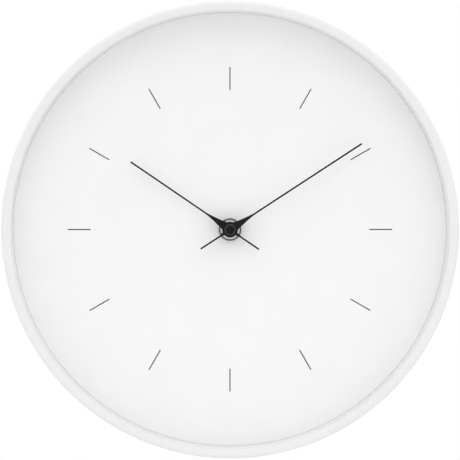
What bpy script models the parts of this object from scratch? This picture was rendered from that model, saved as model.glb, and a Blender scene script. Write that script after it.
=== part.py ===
"""Open-faced round wall clock with a battery quartz movement.

Metres, +Z up.  The dial faces -Y, the wall side is +Y, and the hands turn about the Y axis.
The origin lies on that axis, half way between the rim's front and the case's rear edge.
Depths are counted from the rim's front towards the wall, and inside the movement from the
front of its case, so depth() and layer() turn both into world y.
Angles are clockwise from twelve o'clock, as seen from the front.
"""

from math import atan2, cos, pi, radians, sin, tau

import bmesh
import bpy
from mathutils import Matrix, Vector

MM = 0.001

# ---- driving dimensions -----------------------------------------------------------------
CASE_RADIUS = 137.5 * MM
CASE_DEPTH = 44.0 * MM
LIP_WIDTH = 5.5 * MM
DIAL_DEPTH = 19.0 * MM
DIAL_THICKNESS = 0.7 * MM
GAP = 0.3 * MM
MERGE_DISTANCE = 0.001 * MM
BEYOND = 1.0 * MM

LIP_ROUND = 2.2 * MM
LIP_THICKNESS = 2.0 * MM
LIP_CHAMFER = 0.8 * MM
CASE_WALL = 2.0 * MM
RECESS_WALL = 1.7 * MM
RECESS_DRAFT = 0.3 * MM
WEB_THICKNESS = 2.0 * MM
RIB_COUNT = 8
RIB_THICKNESS = 1.6 * MM
RIB_HEIGHT = 10.0 * MM
RIB_START = 46.0 * MM
RIB_ROOT = 0.6 * MM
FRAME_WALL = 1.6 * MM
FRAME_DEPTH = 5.0 * MM

HOUR_HAND_ANGLE = radians(304.3)
HOUR_HAND_LENGTH = 72.7 * MM
MINUTE_HAND_ANGLE = radians(56.85)
MINUTE_HAND_LENGTH = 95.0 * MM
HAND_TAIL = 21.2 * MM
HAND_THICKNESS = 0.6 * MM
NEEDLE_HALF_WIDTH = 0.5 * MM
FLARE_START = 17.5 * MM
FLARE_END = 3.5 * MM
FLARE_GROWTH = 2.2 * MM
FLARE_POWER = 1.37
TAIL_FLARE_START = 8.0 * MM
TAIL_FLARE_GROWTH = 0.6 * MM
HAND_HUB_RADIUS = 4.7 * MM
HUB_STEP = 0.1 * MM
HOUR_HAND_DEPTH = 12.5 * MM
MINUTE_HAND_DEPTH = 10.6 * MM
CAP_RADIUS = 3.5 * MM
CAP_DEPTH = 7.9 * MM
CAP_HEIGHT = 2.3 * MM
CAP_CHAMFER = 0.6 * MM
CAP_ROOF = 0.9 * MM

BUSH_RADIUS = 3.9 * MM
BUSH_BORE = 2.8 * MM
BUSH_TIP_DEPTH = 15.0 * MM
NUT_RADIUS = 6.85 * MM
NUT_DEPTH = 15.4 * MM
NUT_HEIGHT = 2.2 * MM
NUT_CHAMFER = 0.6 * MM
WASHER_RADIUS = 6.6 * MM
WASHER_THICKNESS = 0.8 * MM
GASKET_RADIUS = 9.0 * MM
GASKET_THICKNESS = 0.8 * MM
HOUR_TUBE_RADIUS = 2.5 * MM
HOUR_TUBE_BORE = 1.9 * MM
MINUTE_SHAFT_RADIUS = 1.6 * MM

MOVEMENT_DEPTH = 24.5 * MM
MOVEMENT_HALF = 28.0 * MM
MOVEMENT_THICKNESS = 15.6 * MM
MOVEMENT_WALL = 1.2 * MM
FRONT_PLATE_THICKNESS = 1.5 * MM
PARTITION_TOP = -10.0 * MM
PARTITION_THICKNESS = 1.0 * MM
MIDDLE_PLATE = (7.6 * MM, 8.3 * MM)
TRAIN_PLATE = (13.1 * MM, 13.9 * MM)
PLATE_HALF_WIDTH = 26.2 * MM
PLATE_BOTTOM = -9.4 * MM
PLATE_TOP = 17.0 * MM
FINGER_NOTCH_HALF = 9.0 * MM
FINGER_NOTCH_DEPTH = 6.0 * MM
KNOB_HOLE = 2.3 * MM
CONTACT_SLOT = (25.2 * MM, 26.3 * MM)
CONTACT_SLOT_LAYERS = (9.0 * MM, 12.0 * MM)

HANGER_WIDTH = 20.0 * MM
HANGER_THICKNESS = 0.8 * MM
HANGER_BOTTOM = -9.0 * MM
HANGER_BEND = 31.0 * MM
HANGER_TOP = 56.0 * MM
HANGER_REAR_DEPTH = 39.7 * MM
KEYHOLE_HEIGHT = 40.0 * MM
KEYHOLE_RADIUS = 4.2 * MM
KEYHOLE_SLOT_TOP = 49.0 * MM
KEYHOLE_SLOT_RADIUS = 2.3 * MM

BATTERY_RADIUS = 7.25 * MM
BATTERY_LENGTH = 50.5 * MM
BATTERY_LAYER = 9.6 * MM
BATTERY_HEIGHT = -18.9 * MM
BATTERY_CHAMFER = 0.5 * MM
NUB_RADIUS = 2.75 * MM
NUB_HEIGHT = 1.0 * MM
CONTACT_THICKNESS = 0.4 * MM
CONTACT_PLAY = 0.05 * MM
STRIP_LAYERS = (9.6 * MM, 11.4 * MM)
STRIP_INSET = 0.1 * MM
STRIP_END = 20.8 * MM
BLADE_LAYERS = (3.0 * MM, 14.0 * MM)
BLADE_BOTTOM = -25.0 * MM
BLADE_TOP = -12.0 * MM

COIL_HEIGHT = 22.0 * MM
COIL_LAYER = 8.85 * MM
COIL_LEFT = -19.5 * MM
COIL_RIGHT = 0.5 * MM
COIL_FLANGE_RADIUS = 3.9 * MM
COIL_FLANGE = 0.8 * MM
COIL_TUBE_RADIUS = 2.6 * MM
WINDING_RADIUS = 3.6 * MM
CORE_HALF_WIDTH = 1.5 * MM
CORE_THICKNESS = 0.7 * MM
STATOR_LAYERS = (9.5 * MM, 10.2 * MM)
STATOR_LEFT = -25.3 * MM
STATOR_RIGHT = 6.3 * MM
STATOR_BOTTOM = 10.7 * MM
STATOR_BAR_TOP = 17.7 * MM
STATOR_TOP = 24.0 * MM
STATOR_LEG = 4.2 * MM
ROTOR_HOLE = 2.8 * MM
MAGNET_RADIUS = 2.4 * MM
SCREW_PLACES = ((-23.2 * MM, COIL_HEIGHT), (4.2 * MM, COIL_HEIGHT))
SCREW_HOLE = 1.0 * MM
SCREW_HEAD_RADIUS = 1.6 * MM
SCREW_LAYERS = (6.0 * MM, 10.5 * MM, 11.4 * MM)

BOARD = (9.0 * MM, 26.0 * MM, 13.5 * MM, 26.0 * MM)
BOARD_LAYERS = (9.5 * MM, 10.3 * MM)
CHIP_PLACE = (17.5 * MM, 20.0 * MM)
CHIP_DOME = ((2.6 * MM, 0.0), (2.3 * MM, 0.6 * MM), (1.4 * MM, 1.0 * MM), (0.0, 1.1 * MM))
CRYSTAL_RADIUS = 1.0 * MM
CRYSTAL_ENDS = (15.0 * MM, 21.0 * MM)
CRYSTAL_HEIGHT = 24.3 * MM
BOARD_POSTS = ((11.5 * MM, 23.5 * MM), (23.5 * MM, 22.0 * MM))

PLATE_POSTS = (
    (-23.3 * MM, -7.2 * MM),
    (23.3 * MM, -7.2 * MM),
    (-23.3 * MM, 7.5 * MM),
    (23.3 * MM, 9.5 * MM),
)

POST_FOOT = 1.0 * MM
POST_END = 0.2 * MM
PLATE_POST_RADII = (2.2 * MM, 1.4 * MM, 0.8 * MM)
MIDDLE_POST_HOLE = 1.7 * MM
TRAIN_POST_HOLE = 1.1 * MM
BOARD_POST_RADII = (1.8 * MM, 0.7 * MM)
BOARD_POST_END = 0.6 * MM
COIL_POST_RADIUS = 2.0 * MM
COIL_THREAD_START = 5.6 * MM
BOSS_WALL = 0.9 * MM
BOSS_TOP = 2.0 * MM
BOSS_HOLE = (0.6 * MM, 2.4 * MM)

ARBOR_RADIUS = 0.7 * MM
PIVOT_RADIUS = 0.4 * MM
PIVOT_BORE = 0.5 * MM
MOTION_ARBOR_RADIUS = 0.9 * MM
MOTION_BORE = 1.0 * MM

# Wheel train: teeth and centre distances follow from one rotor turn in two seconds.
CANNON_TEETH, MOTION_WHEEL_TEETH = 12, 36
MOTION_PINION_TEETH, HOUR_WHEEL_TEETH = 10, 40
THIRD_PINION_TEETH, CENTRE_WHEEL_TEETH = 8, 64
SECONDS_PINION_TEETH, THIRD_WHEEL_TEETH = 8, 60
STEP_PINION_TEETH, SECONDS_WHEEL_TEETH = 8, 48
ROTOR_PINION_TEETH, STEP_WHEEL_TEETH = 8, 40

MOTION_DISTANCE = 10.5 * MM
THIRD_DISTANCE = 10.08 * MM
STEP_DISTANCE = 8.75 * MM
ROTOR_DISTANCE = 7.2 * MM

CANNON_LAYERS = (4.0 * MM, 5.8 * MM)
MINUTE_SHAFT_END = 5.6 * MM
MINUTE_STUB_RADIUS = 1.0 * MM
MINUTE_STUB_END = 7.3 * MM
SPRING_RADII = (1.3 * MM, 2.6 * MM)
SPRING_LAYERS = (6.1 * MM, 6.4 * MM)
MOTION_WHEEL_LAYERS = (4.3 * MM, 5.1 * MM)
MOTION_PINION_LAYERS = (2.4 * MM, 4.5 * MM)
MOTION_STEM = (0.8 * MM, 16.0 * MM)
HOUR_WHEEL_LAYERS = (2.6 * MM, 3.4 * MM)
HOUR_TUBE_END = 3.7 * MM
CENTRE_WHEEL_LAYERS = (6.7 * MM, 7.3 * MM)
CENTRE_WHEEL_BORE = 1.1 * MM
THIRD_WHEEL_LAYERS = (8.6 * MM, 9.2 * MM)
THIRD_PINION_LAYERS = (6.3 * MM, 7.3 * MM)
THIRD_PIVOT = (0.8 * MM, 2.3 * MM)
SECONDS_WHEEL_LAYERS = (10.0 * MM, 10.6 * MM)
SECONDS_PINION_LAYERS = (8.6 * MM, 9.5 * MM)
STEP_WHEEL_LAYERS = (11.5 * MM, 12.1 * MM)
STEP_PINION_LAYERS = (9.8 * MM, 10.8 * MM)
ROTOR_PINION_LAYERS = (11.3 * MM, 12.3 * MM)
MAGNET_LAYERS = (8.8 * MM, 10.9 * MM)
PIVOT_INSET = 0.1 * MM

KNOB_STEM_RADIUS = 2.0 * MM
KNOB_STEM_START = 14.2 * MM
KNOB_BORE_END = 16.3 * MM
KNOB_HEAD_START = 15.9 * MM
KNOB_RADIUS = 4.5 * MM
KNOB_TOP = 18.6 * MM
KNOB_CHAMFER = 0.4 * MM

TOOTH_ROOT = 1.15
TOOTH_TIP = 0.8
TOOTH_FOOT_SHARE = 0.5
TOOTH_CREST_SHARE = 0.2

CASE_STEPS = 72
ROUND_STEPS = 24
BORE_STEPS = 12


def polar(distance, degrees_from_right):
    """A place (x, z) at a distance from the clock axis, counter-clockwise from three o'clock."""
    angle = radians(degrees_from_right)
    return distance * cos(angle), distance * sin(angle)


CENTRE = (0.0, 0.0)
MOTION_PLACE = polar(MOTION_DISTANCE, 170.0)
THIRD_PLACE = polar(THIRD_DISTANCE, 15.0)
STEP_PLACE = polar(STEP_DISTANCE, 110.0)
ROTOR_PLACE = (
    STEP_PLACE[0] + ROTOR_DISTANCE * cos(radians(120.0)),
    STEP_PLACE[1] + ROTOR_DISTANCE * sin(radians(120.0)),
)


# ---- helpers ----------------------------------------------------------------------------
def depth(from_rim):
    """World y of a depth counted from the rim's front."""
    return from_rim - CASE_DEPTH / 2


def layer(inside):
    """World y of a layer counted from the front of the movement."""
    return depth(MOVEMENT_DEPTH + inside)


def finish(name, colour, roughness, metallic=0.0):
    """A Principled material with the part's colour, roughness and metallic value."""
    material = bpy.data.materials.new(name)
    material.use_nodes = True
    shader = material.node_tree.nodes["Principled BSDF"]
    shader.inputs["Base Color"].default_value = (*colour, 1.0)
    shader.inputs["Roughness"].default_value = roughness
    shader.inputs["Metallic"].default_value = metallic
    material.diffuse_color = (*colour, 1.0)
    return material


def new_object(name, shape, material, place=CENTRE, turn=0.0):
    """An object from a finished bmesh, standing at place (x, z) and turned about Y."""
    bmesh.ops.remove_doubles(shape, verts=shape.verts, dist=MERGE_DISTANCE)
    bmesh.ops.recalc_face_normals(shape, faces=shape.faces)
    mesh = bpy.data.meshes.new(name)
    shape.to_mesh(mesh)
    shape.free()
    mesh.shade_smooth()
    mesh.set_sharp_from_angle(angle=radians(35.0))
    mesh.materials.append(material)
    made = bpy.data.objects.new(name, mesh)
    made.location = (place[0], 0.0, place[1])
    made.rotation_euler = (0.0, turn, 0.0)
    bpy.context.scene.collection.objects.link(made)
    return made


def turned_shape(profile, steps):
    """A bmesh of revolution about Y.  A profile that starts off the axis is closed to a ring."""
    shape = bmesh.new()
    points = [shape.verts.new((radius, along, 0.0)) for radius, along in profile]
    for first, second in zip(points, points[1:]):
        shape.edges.new((first, second))
    if profile[0][0] > 0.0:
        shape.edges.new((points[-1], points[0]))
    bmesh.ops.spin(
        shape,
        geom=shape.verts[:] + shape.edges[:],
        cent=(0.0, 0.0, 0.0),
        axis=(0.0, 1.0, 0.0),
        angle=tau,
        steps=steps,
    )
    return shape


def turned(name, profile, material, place=CENTRE, steps=ROUND_STEPS):
    """A piece turned about Y from (radius, y) points."""
    return new_object(name, turned_shape(profile, steps), material, place)


def turned_along_x(name, profile, material, at, steps=ROUND_STEPS):
    """A piece turned about an axis along X through the point at, from (radius, x) points."""
    shape = turned_shape(profile, steps)
    lay_down = Matrix.Rotation(-pi / 2, 4, "Z")
    bmesh.ops.transform(shape, matrix=Matrix.Translation(at) @ lay_down, verts=shape.verts)
    return new_object(name, shape, material)


def block(name, low, high, material):
    """A box between two corners."""
    shape = bmesh.new()
    middle = (Vector(low) + Vector(high)) / 2
    size = Vector(high) - Vector(low)
    placed = Matrix.Translation(middle) @ Matrix.Diagonal((*size, 1.0))
    bmesh.ops.create_cube(shape, size=1.0, matrix=placed)
    return new_object(name, shape, material)


def extruded(name, outline, front, rear, material, holes=(), place=CENTRE, turn=0.0):
    """A flat piece: an (x, z) outline with holes, extruded along Y from front to rear."""
    shape = bmesh.new()
    for loop in (outline, *holes):
        points = [shape.verts.new((x, front, z)) for x, z in loop]
        for first, second in zip(points, points[1:] + points[:1]):
            shape.edges.new((first, second))
    bmesh.ops.triangle_fill(shape, edges=shape.edges[:], use_beauty=True)
    grown = bmesh.ops.extrude_face_region(shape, geom=shape.faces[:])
    moved = [part for part in grown["geom"] if isinstance(part, bmesh.types.BMVert)]
    bmesh.ops.translate(shape, verts=moved, vec=(0.0, rear - front, 0.0))
    return new_object(name, shape, material, place, turn)


def circle(centre, radius, steps=BORE_STEPS):
    """Points of a circle in the (x, z) plane."""
    return [
        (centre[0] + radius * sin(tau * step / steps), centre[1] + radius * cos(tau * step / steps))
        for step in range(steps)
    ]


def rectangle(left, right, bottom, top):
    """Corners of a rectangle in the (x, z) plane."""
    return [(left, bottom), (right, bottom), (right, top), (left, top)]


def combine(piece, operation, *tools):
    """Joins tools to a piece, or cuts them from it.  The tools follow the piece and stay hidden."""
    for tool in tools:
        tool.parent = piece
        tool.hide_render = True
        tool.display_type = "WIRE"
        change = piece.modifiers.new(tool.name, "BOOLEAN")
        change.operation = operation
        change.solver = "EXACT"
        change.object = tool
    return piece


def module_of(teeth, mate_teeth, distance):
    """Tooth module that lets two wheels mesh at a centre distance."""
    return 2 * distance / (teeth + mate_teeth)


def tooth_outline(teeth, module, phase):
    """Outline of a wheel whose first tooth points at the angle phase."""
    pitch = tau / teeth
    root = module * (teeth / 2 - TOOTH_ROOT)
    crest = module * (teeth / 2 + TOOTH_TIP)
    corners = (
        (root, -TOOTH_FOOT_SHARE / 2),
        (crest, -TOOTH_CREST_SHARE / 2),
        (crest, TOOTH_CREST_SHARE / 2),
        (root, TOOTH_FOOT_SHARE / 2),
    )
    return [
        (radius * sin(phase + (tooth + share) * pitch), radius * cos(phase + (tooth + share) * pitch))
        for tooth in range(teeth)
        for radius, share in corners
    ]


def meshed_phase(phase, teeth, place, mate_teeth, mate_place):
    """Phase that sets a mate's gap opposite a tooth, where the line of centres crosses."""
    towards = atan2(mate_place[0] - place[0], mate_place[1] - place[1])
    tooth_share = (towards - phase) / (tau / teeth)
    mate_share = 0.5 - tooth_share
    return towards + pi - mate_share * tau / mate_teeth


def toothed(name, teeth, module, phase, layers, material, place=CENTRE, bore=0.0):
    """A wheel or pinion between two movement layers."""
    holes = [circle(CENTRE, bore)] if bore else []
    outline = tooth_outline(teeth, module, phase)
    return extruded(name, outline, layer(layers[0]), layer(layers[1]), material, holes, place)


def arbor_profile(sections):
    """(radius, y) points of a solid stepped arbor from (radius, from_layer, to_layer) sections."""
    points = [(0.0, layer(sections[0][1]))]
    for radius, start, end in sections:
        points.append((radius, layer(start)))
        points.append((radius, layer(end)))
    points.append((0.0, layer(sections[-1][2])))
    return points


def solid_profile(radius, front, rear):
    """(radius, y) points of a plain solid disc or rod."""
    return [(0.0, front), (radius, front), (radius, rear), (0.0, rear)]


def ring_profile(inner, outer, front, rear):
    """(radius, y) points of a plain ring."""
    return [(inner, front), (outer, front), (outer, rear), (inner, rear)]


# ---- case and dial ----------------------------------------------------------------------
def build_case(white):
    """Moulded case: rim, recessed wall, web behind the dial, outer wall, ribs and locating frame."""
    recess = CASE_RADIUS - LIP_WIDTH
    foot = recess - RECESS_DRAFT
    web_front = DIAL_DEPTH + DIAL_THICKNESS + GAP
    web_rear = web_front + WEB_THICKNESS
    inside = CASE_RADIUS - CASE_WALL
    behind = recess + RECESS_WALL
    hole = BUSH_RADIUS + GAP
    corner = [
        (
            CASE_RADIUS - LIP_ROUND + LIP_ROUND * sin(radians(angle)),
            depth(LIP_ROUND - LIP_ROUND * cos(radians(angle))),
        )
        for angle in (90, 60, 30, 0)
    ]
    profile = [(CASE_RADIUS, depth(CASE_DEPTH)), *corner]
    profile += [(recess + LIP_CHAMFER, depth(0.0)), (recess, depth(LIP_CHAMFER))]
    profile += [(foot, depth(web_front)), (hole, depth(web_front)), (hole, depth(web_rear))]
    profile += [(behind, depth(web_rear)), (behind, depth(LIP_THICKNESS))]
    profile += [(inside, depth(LIP_THICKNESS)), (inside, depth(CASE_DEPTH))]
    case = turned("case_body", profile, white, steps=CASE_STEPS)

    root = depth(web_rear) - RIB_ROOT
    for number in range(RIB_COUNT):
        rib = block(
            f"rib_{number}",
            (RIB_START, root, -RIB_THICKNESS / 2),
            (inside + CASE_WALL / 2, depth(web_rear) + RIB_HEIGHT, RIB_THICKNESS / 2),
            white,
        )
        rib.rotation_euler = (0.0, tau * (number + 0.5) / RIB_COUNT, 0.0)
        combine(case, "UNION", rib)

    near = MOVEMENT_HALF + 2 * GAP
    far = near + FRAME_WALL
    notch = HANGER_WIDTH / 2 + 2 * GAP
    walls = {
        "left": (-far, -near, -far, far),
        "right": (near, far, -far, far),
        "bottom": (-near - RIB_ROOT, near + RIB_ROOT, -far, -near),
        "top_left": (-near - RIB_ROOT, -notch, near, far),
        "top_right": (notch, near + RIB_ROOT, near, far),
    }
    for side, (left, right, bottom, top) in walls.items():
        low = (left, root, bottom)
        high = (right, depth(web_rear) + FRAME_DEPTH, top)
        combine(case, "UNION", block(f"frame_{side}", low, high, white))
    return case


def build_dial(white):
    """Flat dial sheet on the web."""
    radius = CASE_RADIUS - LIP_WIDTH - RECESS_DRAFT - GAP
    front = depth(DIAL_DEPTH)
    profile = ring_profile(BUSH_RADIUS + GAP, radius, front, front + DIAL_THICKNESS)
    return turned("dial_sheet", profile, white, steps=CASE_STEPS)


# ---- hands and what clamps the movement ---------------------------------------------------
def hand_half_width(distance):
    """Half width of a hand's blade at a distance from the axis."""
    if distance >= FLARE_START:
        return NEEDLE_HALF_WIDTH
    share = (FLARE_START - distance) / (FLARE_START - FLARE_END)
    return NEEDLE_HALF_WIDTH + FLARE_GROWTH * share**FLARE_POWER


def build_hand(name, length, angle, hand_depth, bore, black):
    """A needle hand with a flare at its hub and a thin counterweight tail."""
    flare_steps = 6
    distances = [
        FLARE_START + (FLARE_END - FLARE_START) * step / flare_steps
        for step in range(flare_steps + 1)
    ]
    right = [(NEEDLE_HALF_WIDTH, length)]
    right += [(hand_half_width(distance), distance) for distance in distances]
    right += [
        (NEEDLE_HALF_WIDTH + TAIL_FLARE_GROWTH, -FLARE_END),
        (NEEDLE_HALF_WIDTH, -TAIL_FLARE_START),
        (NEEDLE_HALF_WIDTH, -HAND_TAIL),
    ]
    outline = right + [(-x, z) for x, z in reversed(right)]
    front = depth(hand_depth)
    rear = front + HAND_THICKNESS
    hand = extruded(name, outline, front, rear, black, turn=angle)
    hub_front, hub_rear = front - HUB_STEP, rear + HUB_STEP
    hub_profile = solid_profile(HAND_HUB_RADIUS, hub_front, hub_rear)
    bore_profile = solid_profile(bore, hub_front - HAND_THICKNESS, hub_rear + HAND_THICKNESS)
    combine(hand, "UNION", turned(f"{name}_hub", hub_profile, black))
    return combine(hand, "DIFFERENCE", turned(f"{name}_bore", bore_profile, black))


def build_cap_nut(black):
    """Blind cap nut on the end of the minute shaft."""
    front = depth(CAP_DEPTH)
    rear = front + CAP_HEIGHT
    bore = MINUTE_SHAFT_RADIUS + GAP
    profile = [
        (0.0, front),
        (CAP_RADIUS - CAP_CHAMFER, front),
        (CAP_RADIUS, front + CAP_CHAMFER),
        (CAP_RADIUS, rear),
        (bore, rear),
        (bore, front + CAP_ROOF),
        (0.0, front + CAP_ROOF),
    ]
    return turned("hand_cap_nut", profile, black)


def build_fixing_nut(bright):
    """Round nut on the threaded bush, in front of the dial."""
    front = depth(NUT_DEPTH)
    bore = BUSH_RADIUS + GAP
    profile = [
        (bore, front),
        (NUT_RADIUS - NUT_CHAMFER, front),
        (NUT_RADIUS, front + NUT_CHAMFER),
        (NUT_RADIUS, front + NUT_HEIGHT),
        (bore, front + NUT_HEIGHT),
    ]
    return turned("fixing_nut", profile, bright)


def build_dial_washer(brass):
    """Thin washer between the fixing nut and the dial."""
    front = depth(NUT_DEPTH) + NUT_HEIGHT + GAP
    profile = ring_profile(BUSH_RADIUS + GAP, WASHER_RADIUS, front, front + WASHER_THICKNESS)
    return turned("dial_washer", profile, brass)


def build_gasket(rubber):
    """Rubber ring that the movement presses against the hanger bracket."""
    rear = layer(0.0) - GAP
    profile = ring_profile(BUSH_RADIUS + GAP, GASKET_RADIUS, rear - GASKET_THICKNESS, rear)
    return turned("rubber_gasket", profile, rubber)


def build_hanger(steel):
    """Steel bracket on the bush, bent back over the movement, with a keyhole for the wall hook."""
    near = depth(DIAL_DEPTH + DIAL_THICKNESS + 2 * GAP + WEB_THICKNESS)
    far = depth(HANGER_REAR_DEPTH)
    side = [
        (near, HANGER_BOTTOM),
        (near + HANGER_THICKNESS, HANGER_BOTTOM),
        (near + HANGER_THICKNESS, HANGER_BEND),
        (far + HANGER_THICKNESS, HANGER_BEND),
        (far + HANGER_THICKNESS, HANGER_TOP),
        (far, HANGER_TOP),
        (far, HANGER_BEND + HANGER_THICKNESS),
        (near, HANGER_BEND + HANGER_THICKNESS),
    ]
    shape = bmesh.new()
    points = [shape.verts.new((-HANGER_WIDTH / 2, y, z)) for y, z in side]
    face = shape.faces.new(points)
    grown = bmesh.ops.extrude_face_region(shape, geom=[face])
    moved = [part for part in grown["geom"] if isinstance(part, bmesh.types.BMVert)]
    bmesh.ops.translate(shape, verts=moved, vec=(HANGER_WIDTH, 0.0, 0.0))
    bracket = new_object("hanger_bracket", shape, steel)

    around = 2 * HANGER_THICKNESS
    bush_hole = circle(CENTRE, BUSH_RADIUS + GAP)
    bush_cutter = extruded("bush_cutter", bush_hole, near - around, near + around, steel)
    keyhole = [
        (KEYHOLE_RADIUS * sin(angle), KEYHOLE_HEIGHT + KEYHOLE_RADIUS * cos(angle))
        for angle in (tau * step / ROUND_STEPS for step in range(3, ROUND_STEPS - 2))
    ]
    keyhole += [
        (KEYHOLE_SLOT_RADIUS * sin(angle), KEYHOLE_SLOT_TOP + KEYHOLE_SLOT_RADIUS * cos(angle))
        for angle in (radians(degrees) for degrees in (-90, -45, 0, 45, 90))
    ]
    keyhole_cutter = extruded("keyhole_cutter", keyhole, far - around, far + around, steel)
    return combine(bracket, "DIFFERENCE", bush_cutter, keyhole_cutter)


# ---- movement case and plates -------------------------------------------------------------
def post(name, place, sections, plastic):
    """A stepped post standing on the movement's front plate."""
    return turned(name, arbor_profile(sections), plastic, place, steps=BORE_STEPS)


def build_front_plate(plastic):
    """Front half of the movement case, with the threaded bush, posts and front bearings."""
    half = MOVEMENT_HALF - GAP
    plate = extruded(
        "movement_front_plate",
        rectangle(-half, half, -half, half),
        layer(0.0),
        layer(FRONT_PLATE_THICKNESS),
        plastic,
        [circle(CENTRE, (BUSH_BORE + BUSH_RADIUS) / 2, ROUND_STEPS)],
    )
    bush_end = layer(FRONT_PLATE_THICKNESS + GAP)
    bush_profile = ring_profile(BUSH_BORE, BUSH_RADIUS, depth(BUSH_TIP_DEPTH), bush_end)
    combine(plate, "UNION", turned("bush", bush_profile, plastic))
    wide, middle, thin = PLATE_POST_RADII
    for number, place in enumerate(PLATE_POSTS):
        sections = (
            (wide, POST_FOOT, MIDDLE_PLATE[0] - GAP),
            (middle, MIDDLE_PLATE[0] - GAP, TRAIN_PLATE[0] - GAP),
            (thin, TRAIN_PLATE[0] - GAP, TRAIN_PLATE[1] + POST_END),
        )
        combine(plate, "UNION", post(f"plate_post_{number}", place, sections, plastic))
    for number, place in enumerate(BOARD_POSTS):
        sections = (
            (BOARD_POST_RADII[0], POST_FOOT, BOARD_LAYERS[0] - GAP),
            (BOARD_POST_RADII[1], BOARD_LAYERS[0] - GAP, BOARD_LAYERS[1] + BOARD_POST_END),
        )
        combine(plate, "UNION", post(f"board_post_{number}", place, sections, plastic))
    core_front = COIL_LAYER - CORE_THICKNESS / 2
    for number, place in enumerate(SCREW_PLACES):
        column = ((COIL_POST_RADIUS, POST_FOOT, core_front - GAP),)
        boss = post(f"coil_post_{number}", place, column, plastic)
        thread = ((SCREW_HOLE, COIL_THREAD_START, core_front),)
        combine(plate, "UNION", boss)
        combine(plate, "DIFFERENCE", post(f"coil_thread_{number}", place, thread, plastic))
    bearings = {"third": (THIRD_PLACE, PIVOT_BORE), "motion": (MOTION_PLACE, MOTION_BORE)}
    for name, (place, bore) in bearings.items():
        boss = post(f"{name}_boss", place, ((bore + BOSS_WALL, POST_FOOT, BOSS_TOP),), plastic)
        hole = post(f"{name}_hole", place, ((bore, *BOSS_HOLE),), plastic)
        combine(plate, "UNION", boss)
        combine(plate, "DIFFERENCE", hole)
    return plate


def build_movement_body(plastic):
    """Rear half of the movement case: walls, rear wall, battery trough and its partition."""
    half = MOVEMENT_HALF
    inner = half - MOVEMENT_WALL
    front = layer(FRONT_PLATE_THICKNESS + GAP)
    rear = layer(MOVEMENT_THICKNESS)
    rear_wall = rear - MOVEMENT_WALL
    body = block("movement_body", (-half, front, -half), (half, rear, half), plastic)
    train_room = block(
        "train_room",
        (-inner, front - BEYOND, PARTITION_TOP),
        (inner, rear_wall, inner),
        plastic,
    )
    trough = block(
        "battery_trough",
        (-inner, front - BEYOND, -inner),
        (inner, rear + BEYOND, PARTITION_TOP - PARTITION_THICKNESS),
        plastic,
    )
    finger_notch = block(
        "finger_notch",
        (-FINGER_NOTCH_HALF, rear - FINGER_NOTCH_DEPTH, -half - BEYOND),
        (FINGER_NOTCH_HALF, rear + BEYOND, -inner + BEYOND),
        plastic,
    )
    knob_hole = turned(
        "knob_hole",
        solid_profile(KNOB_HOLE, rear_wall - BEYOND, rear + BEYOND),
        plastic,
        MOTION_PLACE,
    )
    combine(body, "DIFFERENCE", train_room, trough, finger_notch, knob_hole)
    for side in (-1, 1):
        near, far = sorted(side * place for place in CONTACT_SLOT)
        slot = block(
            f"contact_slot_{side}",
            (near, layer(CONTACT_SLOT_LAYERS[0]), PARTITION_TOP - 2 * PARTITION_THICKNESS),
            (far, layer(CONTACT_SLOT_LAYERS[1]), PARTITION_TOP + PARTITION_THICKNESS),
            plastic,
        )
        combine(body, "DIFFERENCE", slot)
    return body


def build_plate(name, layers, bores, post_hole, plastic):
    """A bearing plate of the train, with its bores and the holes for the four posts."""
    outline = rectangle(-PLATE_HALF_WIDTH, PLATE_HALF_WIDTH, PLATE_BOTTOM, PLATE_TOP)
    holes = [circle(place, radius) for place, radius in bores]
    holes += [circle(place, post_hole) for place in PLATE_POSTS]
    return extruded(name, outline, layer(layers[0]), layer(layers[1]), plastic, holes)


def build_plates(plastic):
    """The middle plate and the train plate."""
    build_plate(
        "middle_plate",
        MIDDLE_PLATE,
        (
            (CENTRE, PIVOT_BORE),
            (THIRD_PLACE, ARBOR_RADIUS + GAP),
            (MOTION_PLACE, MOTION_ARBOR_RADIUS + GAP),
            (STEP_PLACE, PIVOT_BORE),
            (ROTOR_PLACE, PIVOT_BORE),
        ),
        MIDDLE_POST_HOLE,
        plastic,
    )
    build_plate(
        "train_plate",
        TRAIN_PLATE,
        (
            (CENTRE, PIVOT_BORE),
            (THIRD_PLACE, PIVOT_BORE),
            (MOTION_PLACE, MOTION_BORE),
            (STEP_PLACE, PIVOT_BORE),
            (ROTOR_PLACE, PIVOT_BORE),
        ),
        TRAIN_POST_HOLE,
        plastic,
    )


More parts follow.
